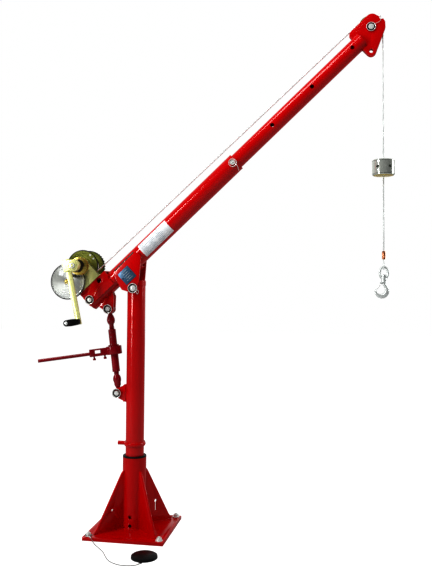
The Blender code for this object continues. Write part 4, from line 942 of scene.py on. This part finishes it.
def make_drum_details():
    """Rolled dark rims on the drum's flanges, pressed rings in them and the rope's clamp."""
    bm = bmesh.new()
    for y in (-0.0460, 0.0460):
        hoop(bm, (DRUM.x, y, DRUM.z), 0.0778, 0.0026, 80, 8)
    piece("drum_rims", bm, "look_dark_steel", "drum")
    bm = bmesh.new()
    for y in (-0.0476, 0.0476):
        for r in (0.0640, 0.0560):
            hoop(bm, (DRUM.x, y, DRUM.z), r, 0.0009, 64)
    piece("drum_pressings", bm, "look_olive_zinc", "drum")
    bm = bmesh.new()
    for a in (0.6, 0.95):
        x, z = DRUM.x + 0.0680 * cos(a), DRUM.z + 0.0680 * sin(a)
        hexagon(bm, 0.0090, -0.0490, -0.0476, (x, 0, z), a)
    zinc_piece("rope_clamp_screws", bm, "drum")


def make_brake_details():
    """The load brake: a second disc behind the lining, a spring and the crank's thrust washer."""
    bm = bmesh.new()
    washer(bm, (0.0093, 0.0425, 0.0432), (-0.0776, -0.0768, -0.0758), DRUM, 48)
    piece("brake_back_disc", bm, "look_gold_zinc", "crank")
    bm = bmesh.new()
    for y in (-0.0990, -0.1022):
        hoop(bm, (DRUM.x, y, DRUM.z), 0.0424, 0.0011, 64)
    for k in range(24):
        a = tau * k / 24
        out = Vector((cos(a), 0, sin(a)))
        sweep(bm, [DRUM + out * 0.0386 + ALONG_Y * y for y in (-0.0800, -0.0860, -0.0940)],
              0.0018, 6)
    piece("brake_ratchet_teeth", bm, "look_gold_zinc", "crank")
    bar("brake_spring", coil(DRUM, 0.0302, -0.1100, -0.1475, 5, 18), 0.0014, 7,
        "look_dark_steel", "crank")
    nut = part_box("crank_nut")
    bm = bmesh.new()
    cap(bm, [(0.0, -0.0034), (0.0060, -0.0028), (0.0072, -0.0010), (0.0072, 0.0010),
             (0.0, 0.0010)], DRUM, 24, nut[0].y)
    washer(bm, (0.0095, 0.0205, 0.0212), (-0.1842, -0.1836, -0.1824), DRUM, 36)
    piece("crank_washer", bm, "look_pale_zinc", "crank")
    low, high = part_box("crank_grip")
    bm = bmesh.new()
    cap(bm, [(0.0, -0.0030), (0.0046, -0.0026), (0.0078, -0.0010), (0.0086, 0.0006),
             (0.0, 0.0006)], GRIP, 24, low.y)
    lathe(bm, [(0.0054, 0.0004), (0.0095, 0.0004), (0.0098, 0.0024), (0.0054, 0.0024),
               (0.0054, 0.0004)], GRIP, "Y", 28, high.y)
    zinc_piece("grip_bolt", bm, "crank")
    bm = bmesh.new()
    for i in range(15):
        y = low.y + 0.018 + i * 0.0075
        ring = 0.0137 + 0.0010 * sin(pi * i / 14)
        hoop(bm, (GRIP.x, y, GRIP.z), ring, 0.0012, 30)
    piece("grip_ribs", bm, "look_rubber", "grip")


def make_winch_foot():
    """The four bolts of the winch's foot and a dark bar painted as the shade line along the near
    upright's edge.
    """
    base = BOOM_LIFT + 0.0557 + 0.0051
    up = (B(0, 0, 1) - B(0, 0, 0)).normalized()
    bm = bmesh.new()
    for s in (-0.190, -0.105):
        for y in (-0.0330, 0.0330):
            lathe(bm, [(0.0, 0.0002), (0.0090, 0.0002), (0.0095, 0.0010), (0.0095, 0.0020),
                       (0.0064, 0.0022), (0.0064, 0.0064), (0.0052, 0.0072), (0.0, 0.0072)],
                  B(s, y, base), up, 24)
    zinc_piece("winch_foot_bolts", bm, "boom")
    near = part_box("winch_frame")[0].y - 0.0002
    # A thin dark bar painted as the shade line at the near upright's edge.
    bar("upright_edge_painted_shade", [B(-0.0830, near, base + rise) for rise in (0.0, 0.0425, 0.0850)],
        0.0012, 8, "look_dark_steel", "boom")


# ---------------------------------------------------------------- jack, weight and hook
def make_jack_details():
    """Screw threads and the barrel's grips."""
    x, z, _, _ = pin_place("jack_upper_pin")
    length = (Vector((x, 0, z)) - JACK_FOOT).length
    for name, body, first in (("jack_lower_thread", "jack_lower", 0.0885),
                              ("jack_upper_thread", "jack_upper", length - 0.1920)):
        bm = bmesh.new()
        thread(bm, JACK_FOOT + JACK_LINE * first, JACK_LINE, 0.0122, 0.1040, 0.0046, False)
        piece(name, bm, "look_jack", body, SMOOTH_ALL)
    bm = bmesh.new()
    side = JACK_LINE.cross(ALONG_Y).normalized()
    for at in (0.1045, 0.1120, 0.2960, 0.3035):
        sweep(bm, ring_path(JACK_FOOT + JACK_LINE * at, 0.0182, side, ALONG_Y, 36), 0.0011, 6, True)
    piece("jack_barrel_bands", bm, "look_jack", "barrel")


def make_load_details():
    """The weight's brass underside and seam, the ferrule's crimps and the latch's spring."""
    low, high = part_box("overhaul_weight")
    radius = (high.x - low.x) / 2
    bm = bmesh.new()
    lathe(bm, [(0.0064, -0.0006), (radius - 0.0060, -0.0006), (radius - 0.0046, 0.0004),
               (0.0064, 0.0004), (0.0064, -0.0006)], (ROPE_X, 0, 0), "Z", 48, low.z)
    piece("weight_underside", bm, "look_gold_zinc", "hoist")
    bm = bmesh.new()
    for z in (low.z + 0.0065, high.z - 0.0065):
        hoop(bm, (ROPE_X, 0, z), radius - 0.0003, 0.0007, 72, level=True)
    piece("weight_grooves", bm, "look_dark_steel", "hoist")
    low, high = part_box("ferrule")
    bm = bmesh.new()
    for k in range(3):
        z = low.z + (high.z - low.z) * (0.22 + 0.24 * k)
        hoop(bm, (ROPE_X, 0, z), 0.0077, 0.0008, 28, level=True)
    piece("ferrule_crimps", bm, "look_copper", "hoist")
    bar("latch_spring", coil(LATCH, 0.0046, -0.0050, 0.0050, 3, 12), 0.0006, 6,
        "look_dark_steel", "swivel_hook")
    bm = bmesh.new()
    for y in (-0.0088, 0.0078):
        cap(bm, [(0.0, 0.0), (0.0040, 0.0), (0.0044, 0.0005), (0.0, 0.0010)], LATCH, 20, y)
    piece("latch_rivet", bm, "look_forged", "latch")
    bm = bmesh.new()
    hexagon(bm, 0.0164, 1.2348, 1.2420, (ROPE_X, 0, 0), 0.1, 0.0, "Z")
    piece("swivel_nut", bm, "look_forged", "swivel_hook")


# ---------------------------------------------------------------- finish
# How bright the floor and the world are to the camera, and how bright as they light the object:
# the world falls off from its back to its front.
FLOOR_SEEN, FLOOR_LIT = 0.88, 0.16
WORLD_SEEN, WORLD_LIT_FRONT, WORLD_LIT_BACK = 1.0, 0.05, 0.80
LIGHTS = (      # name, place, target, size in metres, power in watts
    ("strip", (-2.45, -2.75, 2.2), (0.1, 0.0, 1.1), (0.20, 3.4), 100),
    ("key", (3.8, 1.0, 2.4), (0.2, 0.0, 1.0), (0.45, 2.6), 46),
    ("top", (-0.8, -1.4, 4.6), (0.3, 0.0, 1.0), (1.6, 0.8), 40),
    ("head", (0.5, -2.3, 3.9), (1.5, 0.0, 2.1), (1.1, 0.5), 42),
)


def make_stage():
    """A plain pale floor."""
    floor = bpy.data.meshes.new("floor")
    half = 14.0
    floor.from_pydata([(-half, -half, 0.0), (half, -half, 0.0), (half, half, 0.0),
                       (-half, half, 0.0)], [], [(0, 1, 2, 3)])
    obj = place_object("floor", floor)
    look = Look("look_floor", (0.36, 0.36, 0.36), 0.9)
    look.tint(look.spread(look.noise(1.2, 2.0), 0.3, 0.7), (0.34, 0.34, 0.34))
    look.shader.inputs["Emission Color"].default_value = (1.0, 1.0, 1.0, 1.0)
    glow = seen_or_lit(look.tree, FLOOR_SEEN, FLOOR_LIT)
    look.tree.links.new(glow, look.shader.inputs["Emission Strength"])
    floor.materials.append(look.mat)


def area_light(name, place, target, size, power):
    data = bpy.data.lights.new(name, "AREA")
    data.shape, data.size, data.size_y = "RECTANGLE", size[0], size[1]
    data.energy = power
    obj = place_object(name, data)
    obj.location = place
    obj.rotation_euler = (Vector(target) - Vector(place)).to_track_quat("-Z", "Y").to_euler()
    obj.visible_glossy = name != "head"


def seen_or_lit(tree, seen, lit):
    """A backdrop's strength as it is seen, and the lower one with which it lights the object."""
    ray = tree.nodes.new("ShaderNodeLightPath")
    spread = tree.nodes.new("ShaderNodeMapRange")
    tree.links.new(ray.outputs["Is Camera Ray"], spread.inputs["Value"])
    if isinstance(lit, float):
        spread.inputs["To Min"].default_value = lit
    else:
        tree.links.new(lit, spread.inputs["To Min"])
    spread.inputs["To Max"].default_value = seen
    return spread.outputs[0]


def make_light():
    """A white sweep behind the object that falls off to grey in front, and four soft boxes."""
    world = bpy.data.worlds.new("studio")
    world.use_nodes = True
    tree = world.node_tree
    background = tree.nodes["Background"]
    place = tree.nodes.new("ShaderNodeTexCoord")
    split = tree.nodes.new("ShaderNodeSeparateXYZ")
    spread = tree.nodes.new("ShaderNodeMapRange")
    tree.links.new(place.outputs["Generated"], split.inputs[0])
    tree.links.new(split.outputs["Y"], spread.inputs["Value"])
    spread.inputs["From Min"].default_value, spread.inputs["From Max"].default_value = -0.3, 0.9
    spread.inputs["To Min"].default_value = WORLD_LIT_FRONT
    spread.inputs["To Max"].default_value = WORLD_LIT_BACK
    glow = seen_or_lit(tree, WORLD_SEEN, spread.outputs[0])
    tree.links.new(glow, background.inputs["Strength"])
    background.inputs["Color"].default_value = (1.0, 1.0, 1.0, 1.0)
    bpy.context.scene.world = world
    for light in LIGHTS:
        area_light(*light)
    bpy.context.scene.view_settings.view_transform = "Standard"
    bpy.context.scene.view_settings.gamma = 0.68


CAMERA_PLACE = Vector((0.9834, -3.3479, 1.1903))
CAMERA_TURN = (0.1733, 0.0438, 0.0061)      # yaw, pitch and roll in radians
SENSOR_MM, LENS_MM = 36.0, 43.8375
SHIFT_UP = -0.05885417                      # as a share of the view's height


def make_camera():
    """The camera that the reference view was taken with."""
    yaw, pitch, roll = CAMERA_TURN
    ahead = Vector((-sin(yaw) * cos(pitch), cos(yaw) * cos(pitch), sin(pitch)))
    level = Vector((cos(yaw), sin(yaw), 0.0))
    up = level.cross(ahead)
    right = level * cos(roll) + up * sin(roll)
    up = up * cos(roll) - level * sin(roll)
    turn = Matrix((right, up, -ahead)).transposed()
    data = bpy.data.cameras.new("camera")
    data.sensor_width = data.sensor_height = SENSOR_MM
    data.lens = LENS_MM
    data.shift_y = SHIFT_UP
    data.clip_end = 100.0
    obj = place_object("camera", data)
    obj.matrix_world = Matrix.Translation(CAMERA_PLACE) @ turn.to_4x4()
    bpy.context.scene.camera = obj


make_looks()
finish_cad_nodes()
make_ropes()
make_lanyard()
make_base_details()
make_mast_details()
make_boom_details()
make_pin_details()
make_winch_details()
make_jack_details()
make_load_details()
make_stage()
make_light()
make_camera()
